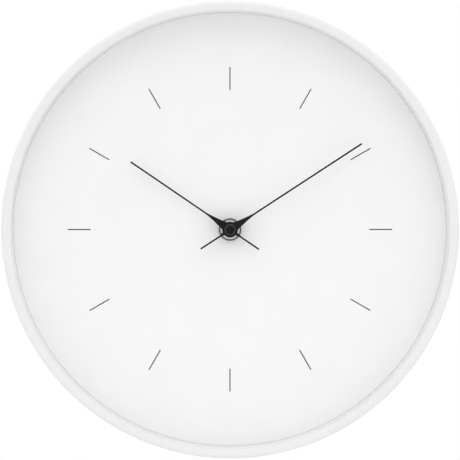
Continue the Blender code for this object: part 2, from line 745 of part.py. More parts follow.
# ---- wheels ---------------------------------------------------------------------------------
def build_motion_work(brass, plastic, steel, black):
    """Minute arbor, clutch spring, minute-work wheel, setting knob and hour wheel."""
    cannon_module = module_of(CANNON_TEETH, MOTION_WHEEL_TEETH, MOTION_DISTANCE)
    hour_module = module_of(MOTION_PINION_TEETH, HOUR_WHEEL_TEETH, MOTION_DISTANCE)

    tip = depth(CAP_DEPTH) + CAP_ROOF + GAP
    shaft = [
        (0.0, tip),
        (MINUTE_SHAFT_RADIUS, tip),
        (MINUTE_SHAFT_RADIUS, layer(MINUTE_SHAFT_END)),
        (MINUTE_STUB_RADIUS, layer(MINUTE_SHAFT_END)),
        (MINUTE_STUB_RADIUS, layer(MINUTE_STUB_END)),
        (0.0, layer(MINUTE_STUB_END)),
    ]
    arbor = turned("minute_arbor", shaft, steel)
    cannon = toothed("cannon_pinion", CANNON_TEETH, cannon_module, 0.0, CANNON_LAYERS, steel)
    combine(arbor, "UNION", cannon)

    spring = ring_profile(*SPRING_RADII, *(layer(value) for value in SPRING_LAYERS))
    turned("clutch_spring", spring, steel)

    wheel_phase = meshed_phase(
        0.0, CANNON_TEETH, CENTRE, MOTION_WHEEL_TEETH, MOTION_PLACE
    )
    wheel = toothed(
        "minute_work_wheel",
        MOTION_WHEEL_TEETH,
        cannon_module,
        wheel_phase,
        MOTION_WHEEL_LAYERS,
        plastic,
        MOTION_PLACE,
    )
    pinion = toothed(
        "minute_work_pinion",
        MOTION_PINION_TEETH,
        hour_module,
        0.0,
        MOTION_PINION_LAYERS,
        plastic,
    )
    stem = arbor_profile(((MOTION_ARBOR_RADIUS, *MOTION_STEM),))
    combine(wheel, "UNION", pinion, turned("minute_work_stem", stem, plastic, steps=BORE_STEPS))

    bore = MOTION_ARBOR_RADIUS + GAP
    knob = [
        (0.0, layer(KNOB_BORE_END)),
        (bore, layer(KNOB_BORE_END)),
        (bore, layer(KNOB_STEM_START)),
        (KNOB_STEM_RADIUS, layer(KNOB_STEM_START)),
        (KNOB_STEM_RADIUS, layer(KNOB_HEAD_START)),
        (KNOB_RADIUS, layer(KNOB_HEAD_START)),
        (KNOB_RADIUS, layer(KNOB_TOP - KNOB_CHAMFER)),
        (KNOB_RADIUS - KNOB_CHAMFER, layer(KNOB_TOP)),
        (0.0, layer(KNOB_TOP)),
    ]
    turned("setting_knob", knob, black, MOTION_PLACE)

    hour_phase = meshed_phase(
        0.0, MOTION_PINION_TEETH, MOTION_PLACE, HOUR_WHEEL_TEETH, CENTRE
    )
    hour_wheel = toothed(
        "hour_wheel",
        HOUR_WHEEL_TEETH,
        hour_module,
        hour_phase,
        HOUR_WHEEL_LAYERS,
        brass,
        bore=(HOUR_TUBE_BORE + HOUR_TUBE_RADIUS) / 2,
    )
    tube = ring_profile(
        HOUR_TUBE_BORE, HOUR_TUBE_RADIUS, depth(HOUR_HAND_DEPTH) - GAP, layer(HOUR_TUBE_END)
    )
    combine(hour_wheel, "UNION", turned("hour_tube", tube, brass))


def build_train_wheel(name, place, wheel, pinion, sections, plastic):
    """A wheel and its pinion on one arbor.  wheel and pinion are (teeth, module, phase, layers)."""
    arbor = turned(name, arbor_profile(sections), plastic, place, steps=BORE_STEPS)
    for part, (teeth, module, phase, layers) in (("wheel", wheel), ("pinion", pinion)):
        combine(arbor, "UNION", toothed(f"{name}_{part}", teeth, module, phase, layers, plastic))


def build_going_train(brass, plastic, magnet):
    """Centre, third, seconds and intermediate wheels, and the stepping rotor."""
    centre_module = module_of(THIRD_PINION_TEETH, CENTRE_WHEEL_TEETH, THIRD_DISTANCE)
    third_module = module_of(SECONDS_PINION_TEETH, THIRD_WHEEL_TEETH, THIRD_DISTANCE)
    step_module = module_of(STEP_PINION_TEETH, SECONDS_WHEEL_TEETH, STEP_DISTANCE)
    rotor_module = module_of(ROTOR_PINION_TEETH, STEP_WHEEL_TEETH, ROTOR_DISTANCE)
    rear_pivot = (PIVOT_RADIUS, TRAIN_PLATE[0] - GAP, TRAIN_PLATE[1] + POST_END)
    front_pivot = (PIVOT_RADIUS, MIDDLE_PLATE[0] + PIVOT_INSET, MIDDLE_PLATE[1] + GAP)
    arbor = (ARBOR_RADIUS, MIDDLE_PLATE[1] + GAP, TRAIN_PLATE[0] - GAP)

    centre_phase = meshed_phase(0.0, THIRD_PINION_TEETH, THIRD_PLACE, CENTRE_WHEEL_TEETH, CENTRE)
    toothed(
        "centre_wheel",
        CENTRE_WHEEL_TEETH,
        centre_module,
        centre_phase,
        CENTRE_WHEEL_LAYERS,
        brass,
        bore=CENTRE_WHEEL_BORE,
    )

    third_phase = meshed_phase(0.0, SECONDS_PINION_TEETH, CENTRE, THIRD_WHEEL_TEETH, THIRD_PLACE)
    build_train_wheel(
        "third_wheel",
        THIRD_PLACE,
        (THIRD_WHEEL_TEETH, third_module, third_phase, THIRD_WHEEL_LAYERS),
        (THIRD_PINION_TEETH, centre_module, 0.0, THIRD_PINION_LAYERS),
        (
            (PIVOT_RADIUS, *THIRD_PIVOT),
            (ARBOR_RADIUS, THIRD_PIVOT[1], TRAIN_PLATE[0] - GAP),
            rear_pivot,
        ),
        plastic,
    )

    seconds_phase = meshed_phase(0.0, STEP_PINION_TEETH, STEP_PLACE, SECONDS_WHEEL_TEETH, CENTRE)
    build_train_wheel(
        "seconds_wheel",
        CENTRE,
        (SECONDS_WHEEL_TEETH, step_module, seconds_phase, SECONDS_WHEEL_LAYERS),
        (SECONDS_PINION_TEETH, third_module, 0.0, SECONDS_PINION_LAYERS),
        (front_pivot, arbor, rear_pivot),
        plastic,
    )

    step_phase = meshed_phase(0.0, ROTOR_PINION_TEETH, ROTOR_PLACE, STEP_WHEEL_TEETH, STEP_PLACE)
    build_train_wheel(
        "intermediate_wheel",
        STEP_PLACE,
        (STEP_WHEEL_TEETH, rotor_module, step_phase, STEP_WHEEL_LAYERS),
        (STEP_PINION_TEETH, step_module, 0.0, STEP_PINION_LAYERS),
        (front_pivot, arbor, rear_pivot),
        plastic,
    )

    sections = (front_pivot, arbor, rear_pivot)
    rotor = turned(
        "rotor_pinion", arbor_profile(sections), plastic, ROTOR_PLACE, steps=BORE_STEPS
    )
    leaves = toothed(
        "rotor_leaves",
        ROTOR_PINION_TEETH,
        rotor_module,
        0.0,
        ROTOR_PINION_LAYERS,
        plastic,
    )
    combine(rotor, "UNION", leaves)
    magnet_front, magnet_rear = (layer(value) for value in MAGNET_LAYERS)
    ring = ring_profile(ARBOR_RADIUS + GAP, MAGNET_RADIUS, magnet_front, magnet_rear)
    turned("rotor_magnet", ring, magnet, ROTOR_PLACE)


# ---- motor, board and battery ---------------------------------------------------------------
def build_motor(steel, plastic, copper):
    """Stator, coil core, bobbin, winding and the two screws that hold them."""
    stator_outline = [
        (STATOR_LEFT, STATOR_BOTTOM),
        (STATOR_RIGHT, STATOR_BOTTOM),
        (STATOR_RIGHT, STATOR_TOP),
        (STATOR_RIGHT - STATOR_LEG, STATOR_TOP),
        (STATOR_RIGHT - STATOR_LEG, STATOR_BAR_TOP),
        (STATOR_LEFT + STATOR_LEG, STATOR_BAR_TOP),
        (STATOR_LEFT + STATOR_LEG, STATOR_TOP),
        (STATOR_LEFT, STATOR_TOP),
    ]
    screw_holes = [circle(place, SCREW_HOLE) for place in SCREW_PLACES]
    stator_front, stator_rear = (layer(value) for value in STATOR_LAYERS)
    rotor_hole = circle(ROTOR_PLACE, ROTOR_HOLE, ROUND_STEPS)
    holes = [rotor_hole, *screw_holes]
    extruded("stator", stator_outline, stator_front, stator_rear, steel, holes)

    core_front = layer(COIL_LAYER - CORE_THICKNESS / 2)
    core_rear = layer(COIL_LAYER + CORE_THICKNESS / 2)
    core_outline = rectangle(
        STATOR_LEFT, STATOR_RIGHT, COIL_HEIGHT - CORE_HALF_WIDTH, COIL_HEIGHT + CORE_HALF_WIDTH
    )
    extruded("coil_core", core_outline, core_front, core_rear, steel, screw_holes)

    at = (0.0, layer(COIL_LAYER), COIL_HEIGHT)
    bobbin_profile = [
        (0.0, COIL_LEFT),
        (COIL_FLANGE_RADIUS, COIL_LEFT),
        (COIL_FLANGE_RADIUS, COIL_LEFT + COIL_FLANGE),
        (COIL_TUBE_RADIUS, COIL_LEFT + COIL_FLANGE),
        (COIL_TUBE_RADIUS, COIL_RIGHT - COIL_FLANGE),
        (COIL_FLANGE_RADIUS, COIL_RIGHT - COIL_FLANGE),
        (COIL_FLANGE_RADIUS, COIL_RIGHT),
        (0.0, COIL_RIGHT),
    ]
    bobbin = turned_along_x("coil_bobbin", bobbin_profile, plastic, at)
    beyond = 2 * COIL_FLANGE
    core_room = block(
        "core_room",
        (COIL_LEFT - beyond, core_front - GAP, COIL_HEIGHT - CORE_HALF_WIDTH - GAP),
        (COIL_RIGHT + beyond, core_rear + GAP, COIL_HEIGHT + CORE_HALF_WIDTH + GAP),
        plastic,
    )
    combine(bobbin, "DIFFERENCE", core_room)

    turns_left = COIL_LEFT + COIL_FLANGE + GAP
    turns_right = COIL_RIGHT - COIL_FLANGE - GAP
    winding = ring_profile(COIL_TUBE_RADIUS + GAP, WINDING_RADIUS, turns_left, turns_right)
    turned_along_x("coil_winding", winding, copper, at)

    for number, place in enumerate(SCREW_PLACES, 1):
        sections = (
            (SCREW_HOLE - GAP, *SCREW_LAYERS[:2]),
            (SCREW_HEAD_RADIUS, *SCREW_LAYERS[1:]),
        )
        profile = arbor_profile(sections)
        turned(f"stator_screw_{number}", profile, steel, place, steps=BORE_STEPS)


def build_board(green, black, steel):
    """Circuit board with its chip and quartz crystal."""
    front, rear = (layer(value) for value in BOARD_LAYERS)
    holes = [circle(place, SCREW_HOLE) for place in BOARD_POSTS]
    extruded("circuit_board", rectangle(*BOARD), front, rear, green, holes)

    above = BOARD_LAYERS[1] + GAP
    dome = [(0.0, layer(above))]
    dome += [(radius, layer(above + rise)) for radius, rise in CHIP_DOME]
    turned("chip_cap", dome, black, CHIP_PLACE, steps=BORE_STEPS)

    can = solid_profile(CRYSTAL_RADIUS, *CRYSTAL_ENDS)
    at = (0.0, layer(above) + CRYSTAL_RADIUS, CRYSTAL_HEIGHT)
    turned_along_x("crystal_can", can, steel, at, steps=BORE_STEPS)


def build_battery(sleeve):
    """Size AA cell, lying along X with its nub to the right."""
    end = BATTERY_LENGTH / 2
    shoulder = end - NUB_HEIGHT
    profile = [
        (0.0, -end),
        (BATTERY_RADIUS - BATTERY_CHAMFER, -end),
        (BATTERY_RADIUS, -end + BATTERY_CHAMFER),
        (BATTERY_RADIUS, shoulder - BATTERY_CHAMFER),
        (BATTERY_RADIUS - BATTERY_CHAMFER, shoulder),
        (NUB_RADIUS, shoulder),
        (NUB_RADIUS, end),
        (0.0, end),
    ]
    turned_along_x(
        "battery_cell", profile, sleeve, (0.0, layer(BATTERY_LAYER), BATTERY_HEIGHT)
    )


def build_contacts(nickel):
    """Sheet contacts at the battery's ends, with strips that run to the circuit board."""
    near = BATTERY_LENGTH / 2 + GAP + CONTACT_PLAY
    far = near + CONTACT_THICKNESS
    strip_front, strip_rear = (layer(value) for value in STRIP_LAYERS)
    blade_front, blade_rear = (layer(value) for value in BLADE_LAYERS)
    riser_foot = BLADE_TOP - BEYOND
    strip_top = BOARD[2] - GAP

    plus = block(
        "battery_contact_plus", (near, blade_front, BLADE_BOTTOM), (far, blade_rear, BLADE_TOP), nickel
    )
    riser = block(
        "plus_strip", (near, strip_front, riser_foot), (far, strip_rear, strip_top), nickel
    )
    combine(plus, "UNION", riser)

    minus = block(
        "battery_contact_minus",
        (-far, blade_front, BLADE_BOTTOM),
        (-near, blade_rear, BLADE_TOP),
        nickel,
    )
    shelf = PARTITION_TOP + GAP
    left_riser = block(
        "minus_riser",
        (-far, strip_front, riser_foot),
        (-near, strip_rear, shelf + CONTACT_THICKNESS),
        nickel,
    )
    crossing = block(
        "minus_crossing",
        (-far, strip_front + STRIP_INSET, shelf),
        (STRIP_END, strip_rear - STRIP_INSET, shelf + CONTACT_THICKNESS),
        nickel,
    )
    right_riser = block(
        "minus_end",
        (STRIP_END - CONTACT_THICKNESS, strip_front, shelf + STRIP_INSET),
        (STRIP_END, strip_rear, strip_top),
        nickel,
    )
    combine(minus, "UNION", left_riser, crossing, right_riser)


def build_clock():
    """Clears the scene and builds every piece of the clock."""
    for old in list(bpy.data.objects):
        bpy.data.objects.remove(old, do_unlink=True)

    case_white = finish("case_white", (0.86, 0.86, 0.86), 0.45)
    dial_white = finish("dial_white", (0.88, 0.88, 0.88), 0.6)
    hand_black = finish("hand_black", (0.012, 0.011, 0.012), 0.4)
    nut_bright = finish("nut_bright", (0.75, 0.74, 0.72), 0.12, 1.0)
    brass = finish("brass", (0.75, 0.55, 0.25), 0.3, 1.0)
    steel = finish("steel", (0.6, 0.6, 0.62), 0.35, 1.0)
    rubber = finish("rubber", (0.03, 0.03, 0.03), 0.8)
    movement_black = finish("movement_black", (0.025, 0.025, 0.027), 0.5)
    gear_plastic = finish("gear_plastic", (0.8, 0.78, 0.7), 0.45)
    plate_plastic = finish("plate_plastic", (0.35, 0.36, 0.38), 0.5)
    magnet = finish("magnet", (0.15, 0.14, 0.14), 0.5, 0.5)
    copper = finish("copper", (0.72, 0.35, 0.18), 0.3, 1.0)
    board_green = finish("board_green", (0.03, 0.2, 0.08), 0.4)
    sleeve = finish("battery_sleeve", (0.34, 0.36, 0.38), 0.3)

    build_case(case_white)
    build_dial(dial_white)
    build_hand(
        "hour_hand",
        HOUR_HAND_LENGTH,
        HOUR_HAND_ANGLE,
        HOUR_HAND_DEPTH,
        HOUR_TUBE_RADIUS + GAP,
        hand_black,
    )
    build_hand(
        "minute_hand",
        MINUTE_HAND_LENGTH,
        MINUTE_HAND_ANGLE,
        MINUTE_HAND_DEPTH,
        MINUTE_SHAFT_RADIUS + GAP,
        hand_black,
    )
    build_cap_nut(hand_black)
    build_fixing_nut(nut_bright)
    build_dial_washer(brass)
    build_gasket(rubber)
    build_hanger(steel)
    build_front_plate(movement_black)
    build_movement_body(movement_black)
    build_plates(plate_plastic)
    build_motion_work(brass, gear_plastic, steel, movement_black)
    build_going_train(brass, gear_plastic, magnet)
    build_motor(steel, plate_plastic, copper)
    build_board(board_green, movement_black, steel)
    build_battery(sleeve)
    build_contacts(steel)


build_clock()
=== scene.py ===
"""Looks of an open-faced wall clock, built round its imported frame.

Metres, +Z up. The dial faces -Y, the wall side is +Y, and the hands turn about the Y axis.
Every place starts from the frame: from the whole object's box or from the box of one node.
Angles are clockwise from twelve o'clock, as seen from the front, unless a name says otherwise.
"""

import logging
from collections.abc import Iterable, Sequence
from dataclasses import dataclass
from enum import Enum
from math import asin, cos, hypot, pi, radians, sin, tau

import bmesh
import bpy
from mathutils import Matrix, Vector


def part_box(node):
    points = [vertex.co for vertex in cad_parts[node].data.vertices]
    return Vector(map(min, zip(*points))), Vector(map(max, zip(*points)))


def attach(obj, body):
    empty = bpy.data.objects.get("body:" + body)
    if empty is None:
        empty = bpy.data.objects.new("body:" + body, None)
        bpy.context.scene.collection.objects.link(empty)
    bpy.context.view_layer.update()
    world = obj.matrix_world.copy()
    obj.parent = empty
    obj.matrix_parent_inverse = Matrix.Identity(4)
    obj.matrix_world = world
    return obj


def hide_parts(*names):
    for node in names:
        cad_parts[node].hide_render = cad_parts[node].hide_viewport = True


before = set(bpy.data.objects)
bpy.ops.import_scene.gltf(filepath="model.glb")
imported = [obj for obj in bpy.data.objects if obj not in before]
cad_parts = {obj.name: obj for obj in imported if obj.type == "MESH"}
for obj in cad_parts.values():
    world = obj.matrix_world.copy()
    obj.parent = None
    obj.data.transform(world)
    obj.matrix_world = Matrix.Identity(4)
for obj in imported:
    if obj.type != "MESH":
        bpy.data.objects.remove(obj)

log = logging.getLogger("wall_clock")

MM = 0.001
MERGE = 0.002 * MM

Point2 = tuple[float, float]
Colour = tuple[float, float, float]


class Body(Enum):
    """The bodies of the frame that new pieces ride on."""

    CASE = "case"
    MINUTE = "minute"
    HOUR = "hour"
    MINUTE_WORK = "minute_work"
    BATTERY = "battery"


class Slot(Enum):
    """The record's material slots."""

    CASE_WHITE = "case_white"
    DIAL_WHITE = "dial_white"
    HAND_BLACK = "hand_black"
    NUT_BRIGHT = "nut_bright"
    BRASS = "brass"
    STEEL = "steel"
    RUBBER = "rubber"
    MOVEMENT_BLACK = "movement_black"
    GEAR_PLASTIC = "gear_plastic"
    PLATE_PLASTIC = "plate_plastic"
    MAGNET = "magnet"
    COPPER = "copper"
    BOARD_GREEN = "board_green"
    BATTERY_SLEEVE = "battery_sleeve"


class Texture(Enum):
    """How a surface is worked, which sets the pattern of its relief."""

    MOULDED = "moulded"
    SPRAYED = "sprayed"
    BRUSHED = "brushed"
    TURNED = "turned"
    TRACKED = "tracked"


class Stud(Enum):
    """What a ring pattern repeats."""

    BAR = "bar"
    ROD = "rod"
    DISC = "disc"


# ---- node sheets ------------------------------------------------------------------------------
class NodeSheet:
    """A node tree that is being laid out, with short ways to add and join nodes."""

    def __init__(self, tree: bpy.types.NodeTree) -> None:
        """Wraps an existing tree.

        Args:
            tree: The shader or geometry tree to lay out.
        """
        self.tree = tree

    def add(self, kind: str, **settings: object) -> bpy.types.Node:
        """Adds a node and sets its properties.

        Args:
            kind: The node's type name.
            settings: Properties of the node, by name.

        Returns:
            The new node.
        """
        node = self.tree.nodes.new(kind)
        for key, value in settings.items():
            setattr(node, key, value)
        return node

    def feed(self, socket: bpy.types.NodeSocket, value: object) -> None:
        """Gives an input socket a link or a constant.

        Args:
            socket: The input socket.
            value: An output socket, or a constant value.
        """
        if isinstance(value, bpy.types.NodeSocket):
            self.tree.links.new(value, socket)
        else:
            socket.default_value = value

    def node(self, kind: str, inputs: dict[str, object], **settings: object) -> bpy.types.Node:
        """Adds a node and feeds its inputs by socket name.

        Args:
            kind: The node's type name.
            inputs: Links or constants, by input name.
            settings: Properties of the node, by name.

        Returns:
            The new node.
        """
        made = self.add(kind, **settings)
        for name, value in inputs.items():
            self.feed(made.inputs[name], value)
        return made

    def math(self, operation: str, *values: object) -> bpy.types.NodeSocket:
        """Adds a math node.

        Args:
            operation: The math node's operation.
            values: Links or numbers, one for each input.

        Returns:
            The result's socket.
        """
        made = self.add("ShaderNodeMath", operation=operation)
        for socket, value in zip(made.inputs, values):
            self.feed(socket, value)
        return made.outputs[0]

    def noise(self, vector: object, scale: object, detail: float = 2.0) -> bpy.types.NodeSocket:
        """Adds a noise texture.

        Args:
            vector: Where the texture is read.
            scale: Features per metre.
            detail: Octaves.

        Returns:
            The value's socket.
        """
        inputs = {"Vector": vector, "Scale": scale, "Detail": detail}
        return self.node("ShaderNodeTexNoise", inputs).outputs[0]

    def remap(self, value: object, source: Point2, target: Point2) -> bpy.types.NodeSocket:
        """Adds a clamped map range.

        Args:
            value: The value to map.
            source: Its lowest and highest value.
            target: What those become.

        Returns:
            The result's socket.
        """
        names = ("From Min", "From Max", "To Min", "To Max")
        inputs = {"Value": value, **dict(zip(names, (*source, *target)))}
        return self.node("ShaderNodeMapRange", inputs).outputs[0]

    def blend(self, share: object, first: object, second: object) -> bpy.types.NodeSocket:
        """Adds a colour mix.

        Args:
            share: How much of the second colour, from 0 to 1.
            first: A link or an RGBA colour.
            second: A link or an RGBA colour.

        Returns:
            The result's socket.
        """
        made = self.add("ShaderNodeMix", data_type="RGBA")
        sockets = {socket.identifier: socket for socket in made.inputs}
        self.feed(sockets["Factor_Float"], share)
        self.feed(sockets["A_Color"], first)
        self.feed(sockets["B_Color"], second)
        return next(out for out in made.outputs if out.identifier == "Result_Color")


# ---- shader groups ----------------------------------------------------------------------------
class ShaderGroups:
    """Node groups that several materials share, each built once."""

    def __init__(self) -> None:
        """Builds every group."""
        self.relief = {
            Texture.MOULDED: self._moulded_grain(),
            Texture.SPRAYED: self._sprayed_skin(),
            Texture.BRUSHED: self._brushed_lines(),
            Texture.TURNED: self._turned_rings(),
            Texture.TRACKED: self._board_tracks(),
        }
        self.wear = self._edge_wear()
        self.dust = self._settled_dust()

    @staticmethod
    def _open(name: str, inputs: dict[str, float], outputs: Sequence[str]) -> tuple:
        """Opens a shader group with float sockets.

        Args:
            name: The group's name.
            inputs: Default of each float input, by name.
            outputs: Names of the float outputs.

        Returns:
            The sheet, the group's input node and its output node.
        """
        tree = bpy.data.node_groups.new(name, "ShaderNodeTree")
        for key, value in inputs.items():
            socket = tree.interface.new_socket(key, in_out="INPUT", socket_type="NodeSocketFloat")
            socket.default_value = value
        for key in outputs:
            tree.interface.new_socket(key, in_out="OUTPUT", socket_type="NodeSocketFloat")
        sheet = NodeSheet(tree)
        return sheet, sheet.add("NodeGroupInput"), sheet.add("NodeGroupOutput")

    def _relief(self, name: str, scale: float) -> tuple:
        """Opens a relief group, which puts out a height and a shade.

        Args:
            name: The group's name.
            scale: Default of its scale.

        Returns:
            The sheet, the object coordinates, the scale's socket and the output node.
        """
        sheet, given, out = self._open(name, {"Scale": scale}, ("Height", "Shade"))
        place = sheet.add("ShaderNodeTexCoord").outputs["Object"]
        return sheet, place, given.outputs["Scale"], out

    def _moulded_grain(self) -> bpy.types.NodeTree:
        """Spark-eroded mould grain: small soft pits over a slow unevenness."""
        sheet, place, scale, out = self._relief("moulded_grain", 900.0)
        pits = sheet.node("ShaderNodeTexVoronoi", {"Vector": place, "Scale": scale})
        fine = sheet.noise(place, sheet.math("MULTIPLY", scale, 1.7), 3.0)
        height = sheet.math("MULTIPLY_ADD", pits.outputs["Distance"], 0.5, fine)
        sheet.feed(out.inputs["Height"], height)
        slow = sheet.noise(place, sheet.math("MULTIPLY", scale, 0.02), 2.0)
        mottle = sheet.noise(place, sheet.math("MULTIPLY", scale, 0.45), 2.0)
        shade = sheet.math("MULTIPLY_ADD", mottle, 0.6, sheet.math("MULTIPLY", slow, 0.4))
        sheet.feed(out.inputs["Shade"], sheet.remap(shade, (0.35, 0.65), (0.0, 1.0)))
        return sheet.tree

    def _sprayed_skin(self) -> bpy.types.NodeTree:
        """Sprayed paint: a fine even skin with a faint long wave under it."""
        sheet, place, scale, out = self._relief("sprayed_skin", 1200.0)
        skin = sheet.noise(place, scale, 1.0)
        wave = sheet.noise(place, sheet.math("MULTIPLY", scale, 0.12), 1.0)
        sheet.feed(out.inputs["Height"], sheet.math("MULTIPLY_ADD", wave, 0.4, skin))
        slow = sheet.noise(place, sheet.math("MULTIPLY", scale, 0.015), 2.0)
        sheet.feed(out.inputs["Shade"], sheet.remap(slow, (0.35, 0.65), (0.0, 1.0)))
        return sheet.tree

    def _brushed_lines(self) -> bpy.types.NodeTree:
        """Rolled or brushed sheet: fine lines along Z."""
        sheet, place, scale, out = self._relief("brushed_lines", 2500.0)
        mapping = sheet.node("ShaderNodeMapping", {"Vector": place, "Scale": (1.0, 1.0, 0.02)})
        lines = sheet.noise(mapping.outputs[0], scale, 3.0)
        sheet.feed(out.inputs["Height"], lines)
        blotch = sheet.noise(place, sheet.math("MULTIPLY", scale, 0.06), 2.0)
        shade = sheet.math("MULTIPLY_ADD", lines, 0.5, sheet.math("MULTIPLY", blotch, 0.5))
        sheet.feed(out.inputs["Shade"], sheet.remap(shade, (0.35, 0.65), (0.0, 1.0)))
        return sheet.tree

    def _turned_rings(self) -> bpy.types.NodeTree:
        """Lathe marks: fine rings round the Y axis, uneven from ring to ring."""
        sheet, place, scale, out = self._relief("turned_rings", 9000.0)
        parts = sheet.node("ShaderNodeSeparateXYZ", {"Vector": place}).outputs
        square = sheet.math("MULTIPLY_ADD", parts["X"], parts["X"], sheet.math("POWER", parts["Z"], 2.0))
        radius = sheet.math("SQRT", square)
        along = sheet.math("ADD", radius, parts["Y"])
        ring = sheet.add("ShaderNodeTexNoise", noise_dimensions="1D")
        sheet.feed(ring.inputs["W"], along)
        sheet.feed(ring.inputs["Scale"], scale)
        sheet.feed(ring.inputs["Detail"], 2.0)
        sheet.feed(out.inputs["Height"], ring.outputs[0])
        blotch = sheet.noise(place, sheet.math("MULTIPLY", scale, 0.03), 2.0)
        sheet.feed(out.inputs["Shade"], sheet.remap(blotch, (0.35, 0.65), (0.0, 1.0)))
        return sheet.tree

    def _board_tracks(self) -> bpy.types.NodeTree:
        """Copper tracks that show through the solder mask of a circuit board."""
        sheet, place, scale, out = self._relief("board_tracks", 450.0)
        cells = sheet.add("ShaderNodeTexVoronoi", feature="DISTANCE_TO_EDGE", distance="EUCLIDEAN")
        sheet.feed(cells.inputs["Vector"], place)
        sheet.feed(cells.inputs["Scale"], scale)
        track = sheet.remap(cells.outputs["Distance"], (0.06, 0.12), (1.0, 0.0))
        weave = sheet.noise(place, sheet.math("MULTIPLY", scale, 6.0), 1.0)
        sheet.feed(out.inputs["Height"], sheet.math("MULTIPLY_ADD", weave, 0.2, track))
        sheet.feed(out.inputs["Shade"], track)
        return sheet.tree

    def _edge_wear(self) -> bpy.types.NodeTree:
        """Mask of convex edges, broken up by a noise."""
        sheet, given, out = self._open("edge_wear", {"Amount": 0.5, "Scale": 300.0}, ("Mask",))
        place = sheet.add("ShaderNodeTexCoord").outputs["Object"]
        point = sheet.add("ShaderNodeNewGeometry").outputs["Pointiness"]
        edge = sheet.remap(point, (0.52, 0.6), (0.0, 1.0))
        rough = sheet.noise(place, given.outputs["Scale"], 3.0)
        broken = sheet.math("MULTIPLY", edge, sheet.remap(rough, (0.4, 0.65), (0.2, 1.0)))
        sheet.feed(out.inputs["Mask"], sheet.math("MULTIPLY", broken, given.outputs["Amount"]))
        return sheet.tree

    def _settled_dust(self) -> bpy.types.NodeTree:
        """Mask of faces that look up, where a film of dust settles."""
        sheet, given, out = self._open("settled_dust", {"Amount": 0.2, "Scale": 120.0}, ("Mask",))
        place = sheet.add("ShaderNodeTexCoord").outputs["Object"]
        normal = sheet.add("ShaderNodeTexCoord").outputs["Normal"]
        up = sheet.node("ShaderNodeSeparateXYZ", {"Vector": normal}).outputs["Z"]
        facing = sheet.remap(up, (0.35, 0.95), (0.0, 1.0))
        drift = sheet.remap(sheet.noise(place, given.outputs["Scale"], 3.0), (0.3, 0.7), (0.3, 1.0))
        film = sheet.math("MULTIPLY", facing, drift)
        sheet.feed(out.inputs["Mask"], sheet.math("MULTIPLY", film, given.outputs["Amount"]))
        return sheet.tree


# ---- finishes ---------------------------------------------------------------------------------
@dataclass(frozen=True)
class Finish:
    """A surface finish, with everything that its material needs.

    Attributes:
        name: The material's name.
        slot: The record's slot that it belongs to; not used.
        texture: How the surface is worked.
        colour: Main colour, linear.
        shade: Colour that the main one varies towards, linear.
        roughness: Roughness where the variation is lowest and highest.
        metallic: 1 on bare metal.
        scale: Features of the relief per metre.
        relief: Height of the relief in metres.
        wear: Strength of the lighter convex edges: scuffs on most finishes, a painted highlight on the
            black cap nut.
        worn_and_highlight_colour: Colour of those edges, linear.
        dust: Strength of the dust film.
        coat: Weight of a clear coat.
        specular: Specular level of the shader.
    """

    name: str
    slot: Slot
    texture: Texture
    colour: Colour
    shade: Colour
    roughness: Point2
    metallic: float = 0.0
    scale: float = 900.0
    relief: float = 0.02 * MM
    wear: float = 0.0
    worn_and_highlight_colour: Colour = (0.8, 0.8, 0.8)
    dust: float = 0.0
    coat: float = 0.0
    specular: float = 0.5

    def pigment(self, sheet: NodeSheet, shade: bpy.types.NodeSocket) -> bpy.types.NodeSocket:
        """Mixes the colour and its variation.

        Args:
            sheet: The material's sheet.
            shade: The variation's mask.

        Returns:
            The colour's socket.
        """
        return sheet.blend(shade, (*self.colour, 1.0), (*self.shade, 1.0))

    def material(self, groups: ShaderGroups) -> bpy.types.Material:
        """Builds the material.

        Args:
            groups: The shared shader groups.

        Returns:
            The new material.
        """
        made = bpy.data.materials.new(self.name)
        made.use_nodes = True
        made.node_tree.nodes.clear()
        sheet = NodeSheet(made.node_tree)
        worked = sheet.node("ShaderNodeGroup", {}, node_tree=groups.relief[self.texture])
        sheet.feed(worked.inputs["Scale"], self.scale)
        shade = worked.outputs["Shade"]
        colour = self.pigment(sheet, shade)
        roughness = sheet.remap(shade, (0.0, 1.0), self.roughness)
        # Lighter convex edges through the edge mask: scuffs on most finishes, a painted highlight on the
        # black cap nut.
        if self.wear:
            edge_tint_node = sheet.node("ShaderNodeGroup", {}, node_tree=groups.wear)
            sheet.feed(edge_tint_node.inputs["Amount"], self.wear)
            colour = sheet.blend(edge_tint_node.outputs["Mask"], colour, (*self.worn_and_highlight_colour, 1.0))
        if self.dust:
            film = sheet.node("ShaderNodeGroup", {}, node_tree=groups.dust)
            sheet.feed(film.inputs["Amount"], self.dust)
            colour = sheet.blend(film.outputs["Mask"], colour, (*DUST, 1.0))
            roughness = sheet.math("MAXIMUM", roughness, film.outputs["Mask"])
        bump = sheet.node("ShaderNodeBump", {"Height": worked.outputs["Height"]})
        bump.inputs["Distance"].default_value = self.relief
        bump.inputs["Strength"].default_value = 1.0
        shader = sheet.node(
            "ShaderNodeBsdfPrincipled",
            {
                "Base Color": colour,
                "Roughness": roughness,
                "Normal": bump.outputs[0],
                "Metallic": self.metallic,
                "Coat Weight": self.coat,
                "Specular IOR Level": self.specular,
            },
        )
        out = sheet.add("ShaderNodeOutputMaterial")
        sheet.feed(out.inputs["Surface"], shader.outputs[0])
        made.diffuse_color = (*self.colour, 1.0)
        return made


